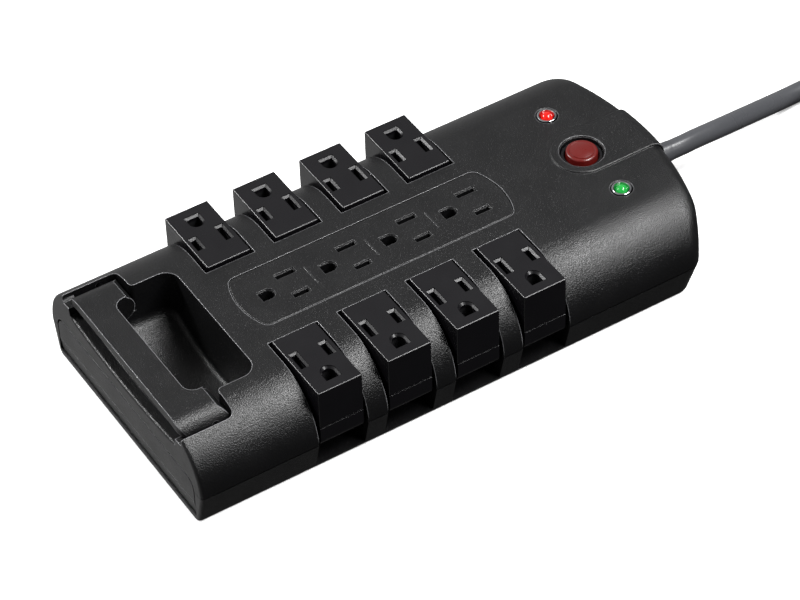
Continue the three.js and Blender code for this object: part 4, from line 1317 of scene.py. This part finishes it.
# Rings round the plug's neck, where it bends, each a little larger than the last.
def ribTree():
    r = neckRibs
    sizes = {"Count": r["count"], "Pitch": r["pitch"], "Width": r["width"]}
    tree, inputs = emptyTree("plug_neck_ribs", {**sizes, "First Radius": r["radius"], "Growth": r["grow"]})
    step = addNode(tree, "ShaderNodeCombineXYZ", links={"X": inputs["Pitch"]})
    start = {"Start Location": (r["first"], plugFacts["y"], plugFacts["z"])}
    spots = addNode(tree, "GeometryNodeMeshLine", start, {"Count": inputs["Count"], "Offset": step})
    circle = addNode(tree, "GeometryNodeCurvePrimitiveCircle", {"Resolution": 48, "Radius": 1.0})
    quarter = {"Rotation": (0, math.pi / 2, 0)}
    upright = addNode(tree, "GeometryNodeTransform", quarter, {"Geometry": circle})
    number = addNode(tree, "GeometryNodeInputIndex")
    growth = {0: number, 1: inputs["Growth"]}
    more = addNode(tree, "ShaderNodeMath", {"operation": "MULTIPLY"}, growth)
    size = addNode(tree, "ShaderNodeMath", {"operation": "ADD"}, {0: inputs["First Radius"], 1: more})
    rings = {"Points": spots, "Instance": upright, "Scale": size}
    copies = addNode(tree, "GeometryNodeInstanceOnPoints", links=rings)
    real = addNode(tree, "GeometryNodeRealizeInstances", links={0: copies})
    half = addNode(tree, "ShaderNodeMath", {"operation": "MULTIPLY", 1: 0.5}, {0: inputs["Width"]})
    section = addNode(tree, "GeometryNodeCurvePrimitiveCircle", {"Resolution": 10}, {"Radius": half})
    tube = addNode(tree, "GeometryNodeCurveToMesh", links={"Curve": real, "Profile Curve": section})
    return closeTree(tree, inputs, tube)


def makeStrainRelief():
    right, f = housing["right"], reliefFacts
    inner, end = right - housing["wall"], f["end"]
    cord = cordFacts["diameter"] / mm / 2
    r, flange, back = f["radius"], f["radius"] + f["flange"], inner - 5 * gap
    held = [(0, inner - 5), (flange, inner - 5), (flange, back), (r, back)]
    face = [(r, right - 0.4), (r - 0.3, right + 0.1), (cord + 0.7, right + 0.5)]
    sleeve = [(cord + 0.6, right + 1.2), (cord + 0.25, end - 2.0), (cord + 0.1, end), (0, end)]
    relief = lathe([*held, *face, *sleeve], (0, 0, f["z"]), "x", 64, "cord_relief")
    return finished(relief, "cord_relief", materials["jacket"], "housing", ("strain_relief",))


plugFacts = {
    "y": -6.0,
    "z": 30.0,
    "taper": 246.3,
    "body": 268.0,
    "end": 298.0,
    "halfWidth": 12.5,
    "halfHeight": 12.0,
    "rise": 4.5,
    "bladeWidth": 6.35,
    "bladeThickness": 1.52,
    "bladeLength": 17.5,
    "root": 7.0,
    "bladeHole": 1.55,
    "pin": 2.4,
    "pinLength": 20.5,
    "pinNose": 2.2,
    "ribs": 5,
    "ribPitch": 3.4,
    "ribWidth": 1.3,
    "ribHeight": 11.0,
}


# Grip ridges on the plug's two sides.
def ridgeTree():
    p = plugFacts
    sizes = {"Count": p["ribs"], "Pitch": p["ribPitch"], "Apart": 2 * p["halfWidth"] - 0.5}
    tree, inputs = emptyTree("plug_ridges", {**sizes, "Thickness": p["ribWidth"], "Height": p["ribHeight"]})
    step = addNode(tree, "ShaderNodeCombineXYZ", links={"X": inputs["Pitch"]})
    start = {"Start Location": (p["body"] + 8, p["y"] - p["halfWidth"] + 0.25, p["z"])}
    row = addNode(tree, "GeometryNodeMeshLine", start, {"Count": inputs["Count"], "Offset": step})
    across = addNode(tree, "ShaderNodeCombineXYZ", links={"Y": inputs["Apart"]})
    other = addNode(tree, "GeometryNodeTransform", links={"Geometry": row, "Translation": across})
    both = addNode(tree, "GeometryNodeJoinGeometry")
    for side in (row, other):
        tree.links.new(side.outputs[0], both.inputs[0])
    half = addNode(tree, "ShaderNodeMath", {"operation": "MULTIPLY", 1: 0.5}, {0: inputs["Thickness"]})
    settings = {"Vertices": 12, "Side Segments": 1}
    long = {"Radius": half, "Depth": inputs["Height"]}
    ridge = addNode(tree, "GeometryNodeMeshCylinder", settings, long)
    squeezed = addNode(tree, "GeometryNodeTransform", {"Scale": (1.2, 0.7, 1)}, {"Geometry": ridge})
    copies = addNode(tree, "GeometryNodeInstanceOnPoints", links={"Points": both, "Instance": squeezed})
    return closeTree(tree, inputs, copies)


def acrossPlug(y, z, halfY, halfZ, radius, steps=7):
    return roundedBox(y - halfY, z - halfZ, y + halfY, z + halfZ, radius, steps)


def makePlug():
    p, o = plugFacts, outletFacts
    cord = cordFacts["diameter"] / mm / 2
    rings = []
    for i in range(15):
        share = i / 14
        x = p["taper"] + (p["body"] - p["taper"]) * share
        swell = share**1.6
        halfY = cord + 0.6 + (p["halfWidth"] - 1.2 - cord) * swell
        halfZ = cord + 0.6 + (p["halfHeight"] - 1.2 - cord) * swell
        radius = min(halfY, halfZ) * (1 - 0.55 * swell) - 0.01
        rings.append((x, acrossPlug(p["y"], p["z"], halfY, halfZ, radius)))
    end = p["end"]
    for x, less in ((p["body"] + 2.5, 0.15), (end - 2.5, 0.0), (end - 0.7, 0.2), (end, 0.9)):
        halfY, halfZ = p["halfWidth"] - less - 0.3, p["halfHeight"] - less
        rings.append((x, acrossPlug(p["y"], p["z"], halfY, halfZ, 5 - less / 2)))
    body = stacked(rings, "x", "plug_shell")
    root, z = end - p["root"], p["z"] + p["rise"]
    blades = [(p["y"] + side * o["spacing"] / 2, name) for side, name in ((-1, "hot"), (1, "neutral"))]
    halfY, halfZ = p["bladeThickness"] / 2, p["bladeWidth"] / 2
    holes = []
    for y, name in blades:
        slot = acrossPlug(y, z, halfY + gap, halfZ + gap, 0.1, 2)
        holes.append(prism(slot, root - gap, end + 2, "x"))
    pinAt = (0, p["y"], z - o["ground"])
    holes.append(rod(p["pin"] + gap, root - gap, end + 2, pinAt, "x", 40))
    combine(body, holes)
    ridges = grown("plug_ridges", ridgeTree(), materials["jacket"])
    ribs = grown("plug_neck_ribs", ribTree(), materials["jacket"])
    shell = joined([body, ridges, ribs], "plug_shell")
    pieces = [finished(shell, "plug_shell", materials["jacket"], "housing", ("plug_body",))]
    metal = materials["brass"]
    tip = end + p["bladeLength"]
    levels = [(root, 0, 0), (tip - 2.2, 0, 0), (tip - 0.8, 0.35, 0.8), (tip, 0.5, 1.8)]
    for y, name in blades:
        rings = [(x, acrossPlug(y, z, halfY - c, halfZ - d, 0.12, 2)) for x, c, d in levels]
        blade = stacked(rings, "x", "blade")
        combine(blade, [rod(p["bladeHole"], -4, 4, (tip - 5.5, y, z), "y", 32)])
        names = ("plug_blade_" + name,)
        pieces.append(finished(blade, "plug_prong_" + name, metal, "housing", names))
    r, tip, nose = p["pin"], end + p["pinLength"], p["pinNose"]
    turns = [math.radians(a) for a in range(0, 90, 10)]
    dome = [(r * math.cos(a), tip - nose + nose * math.sin(a)) for a in turns]
    pin = lathe([(0, root), (r, root), *dome, (0, tip)], pinAt, "x", 40)
    names = ("plug_ground_pin",)
    pieces.append(finished(pin, "plug_earth_pin", metal, "housing", names, 50))
    return pieces


# Four pan-head screws with a crossed recess, standing on the points that the tree is given.
def screwTree():
    s = screwFacts
    sizes = {
        "Head Radius": s["head"],
        "Head Height": s["headHigh"] - s["headLow"],
        "Shank Radius": s["shank"],
        "Shank Length": s["tip"] - s["headHigh"],
        "Recess": s["recess"],
        "Recess Width": s["recessWidth"],
    }
    tree, inputs = emptyTree("base_screws", sizes)
    height = inputs["Head Height"]
    narrow = {"operation": "MULTIPLY", 1: s["taper"]}
    top = addNode(tree, "ShaderNodeMath", narrow, {0: inputs["Head Radius"]})
    cone = {"Radius Bottom": inputs["Head Radius"], "Radius Top": top, "Depth": height}
    head = addNode(tree, "GeometryNodeMeshCone", {"Vertices": 40, "Side Segments": 3}, cone)
    cut = addNode(tree, "GeometryNodeMeshBoolean", {"operation": "DIFFERENCE"}, {"Mesh 1": head})
    for turn in (0, math.pi / 2):
        long = {"X": inputs["Recess"], "Y": inputs["Recess Width"]}
        size = addNode(tree, "ShaderNodeCombineXYZ", {"Z": s["recessDepth"]}, long)
        bar = addNode(tree, "GeometryNodeMeshCube", links={"Size": size})
        placed = addNode(tree, "GeometryNodeTransform", {"Rotation": (0, 0, turn)}, {"Geometry": bar})
        tree.links.new(placed.outputs[0], cut.inputs["Mesh 2"])
    rod = {"Radius": inputs["Shank Radius"], "Depth": inputs["Shank Length"]}
    shank = addNode(tree, "GeometryNodeMeshCylinder", {"Vertices": 24, "Side Segments": 1}, rod)
    half = addNode(tree, "ShaderNodeMath", {"operation": "MULTIPLY", 1: 0.5}, {0: inputs["Shank Length"]})
    rise = addNode(tree, "ShaderNodeMath", {"operation": "ADD"}, {0: half, 1: height})
    up = addNode(tree, "ShaderNodeCombineXYZ", links={"Z": rise})
    raised = addNode(tree, "GeometryNodeTransform", links={"Geometry": shank, "Translation": up})
    whole = addNode(tree, "GeometryNodeJoinGeometry")
    for part in (cut, raised):
        tree.links.new(part.outputs[0], whole.inputs[0])
    screws = {"Points": inputs["Geometry"], "Instance": whole}
    return closeTree(tree, inputs, addNode(tree, "GeometryNodeInstanceOnPoints", links=screws))


def makeScrews():
    points = [(x, y, screwFacts["headLow"]) for x, y in screwFacts["spots"]]
    screws = grown("base_screws", screwTree(), materials["steel"], points)
    nodes = [f"base_screw_{i + 1}" for i in range(4)]
    return finished(screws, "base_screws", materials["steel"], "housing", nodes)


windingFacts = {
    "x": 66.0,
    "y": 9.0,
    "z": 15.4,
    "inner": 5.6,
    "outer": 9.4,
    "height": 7.2,
    "wire": 1.1,
    "bend": 1.2,
    "turns": 26,
}


# Wire wound round the ring core, one loop repeated about its axis.
def windingTree():
    w = windingFacts
    sizes = {"Turns": w["turns"], "Wire": w["wire"], "Depth": w["outer"] - w["inner"]}
    tree, inputs = emptyTree("choke_winding", {**sizes, "Height": w["height"]})
    middle = {"Radius": (w["inner"] + w["outer"]) / 2}
    ring = addNode(tree, "GeometryNodeMeshCircle", middle, {"Vertices": inputs["Turns"]})
    around = {"Width": inputs["Depth"], "Height": inputs["Height"]}
    loop = addNode(tree, "GeometryNodeCurvePrimitiveQuadrilateral", links=around)
    bend = {"mode": "POLY", "Radius": w["bend"], "Count": 4}
    soft = addNode(tree, "GeometryNodeFilletCurve", bend, {"Curve": loop})
    upright = addNode(tree, "GeometryNodeTransform", {"Rotation": (math.pi / 2, 0, 0)}, {"Geometry": soft})
    half = addNode(tree, "ShaderNodeMath", {"operation": "MULTIPLY", 1: 0.5}, {0: inputs["Wire"]})
    section = addNode(tree, "GeometryNodeCurvePrimitiveCircle", {"Resolution": 8}, {"Radius": half})
    wire = addNode(tree, "GeometryNodeCurveToMesh", links={"Curve": upright, "Profile Curve": section})
    place = addNode(tree, "GeometryNodeInputPosition")
    face = addNode(tree, "FunctionNodeAlignRotationToVector", {"axis": "X"}, {"Vector": place})
    turned = {"Points": ring, "Instance": wire, "Rotation": face}
    copies = addNode(tree, "GeometryNodeInstanceOnPoints", links=turned)
    centre = {"Translation": (w["x"], w["y"], w["z"])}
    return closeTree(tree, inputs, addNode(tree, "GeometryNodeTransform", centre, {"Geometry": copies}))


def makeChoke():
    wire = materials["copper"]
    winding = grown("choke_winding", windingTree(), wire)
    names = ("line_choke",)
    return finished(winding, "choke_winding", wire, "housing", names, 60)


makeStrainRelief()
plugPieces = makePlug()
makeScrews()
makeChoke()

# Pieces that keep their first shape get the finish of the real ones.
keptParts = {
    "insulator": ["fixed_contact_block", *[f"pod_contacts_{name}" for name, sign, x in pods]],
    "brass": ["bus_bar_hot", "bus_bar_ground", "bus_bar_neutral"],
    "blackSteel": ["grip_pin_front", "grip_pin_back"],
    "steel": ["thermal_fuse"],
    "breaker": ["circuit_breaker"],
    "board": ["circuit_board"],
    "varistor": ["varistor_1", "varistor_2", "varistor_3"],
}
for finish, names in keptParts.items():
    for name in names:
        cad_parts[name].data.materials.clear()
        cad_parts[name].data.materials.append(materials[finish])
print("stage 5: button, lamps, cord relief, plug, screws and inner parts")


# A soft surround: bright behind and to the left, falling off to a dark front and right.
def makeSky():
    world = bpy.data.worlds.new("studio")
    scene.world = world
    world.use_nodes = True
    tree = world.node_tree
    tree.nodes.clear()
    place = addNode(tree, "ShaderNodeTexCoord")
    towards = {"operation": "DOT_PRODUCT", 1: lights["brightSide"]}
    along = addNode(tree, "ShaderNodeVectorMath", towards, {0: place.outputs["Generated"]})
    (dark, bright), (low, high) = lights["skyFrom"], lights["sky"]
    fall = {"From Min": dark, "From Max": bright, "To Min": low, "To Max": high}
    fall["interpolation_type"] = "SMOOTHSTEP"
    strength = addNode(tree, "ShaderNodeMapRange", fall, {"Value": along.outputs["Value"]})
    white = {"Color": hexColour("#ffffff")}
    sky = addNode(tree, "ShaderNodeBackground", white, {"Strength": strength})
    addNode(tree, "ShaderNodeOutputWorld", links={"Surface": sky})


def makeSetting():
    reach = lights["floorReach"]
    floor = prism(roundedBox(-reach, -reach, reach, reach, 50, 3), -6, 0, name="floor")
    floor.data.transform(Matrix.Scale(mm, 4))
    paper = {
        "Base Color": hexColour("#f4f4f4"),
        "Roughness": 0.9,
        "Emission Color": hexColour("#ffffff"),
        "Emission Strength": lights["floorGlow"],
    }
    floor.data.materials.append(newMaterial("white_paper", paper)[0])
    floor.visible_glossy = False
    floor.visible_diffuse = False
    makeSky()
    for name, lamp in lights["boxes"].items():
        data = bpy.data.lights.new(name, "AREA")
        data.shape = "RECTANGLE"
        data.size, data.size_y = lamp["size"]
        data.energy = lamp["power"]
        box = bpy.data.objects.new(name, data)
        box.location = lamp["at"]
        aim = Vector(lamp["aim"]) - Vector(lamp["at"])
        box.rotation_euler = aim.to_track_quat("-Z", "Y").to_euler()
        scene.collection.objects.link(box)
    scene.view_settings.view_transform = "Standard"


lights = {
    "brightSide": (-0.6, 0.8, 0.0),
    "skyFrom": (-0.5, 0.75),  # how far towards the bright side the sky starts and stops brightening
    "sky": (0.03, 0.46),  # strength at the dark side and at the bright side
    "floorReach": 3000,
    "floorGlow": 0.4,
    "boxes": {
        "topBox": {"at": (0.45, -0.34, 1.06), "aim": (0, 0, 0), "size": (0.9, 0.2), "power": 21},
        "backBox": {"at": (-0.6, 0.74, 0.72), "aim": (0, 0, 0), "size": (0.2, 0.16), "power": 11},
        "edgeBox": {"at": (0.45, -0.85, 0.75), "aim": (0, 0, 0), "size": (0.16, 0.16), "power": 4},
    },
}
makeSetting()
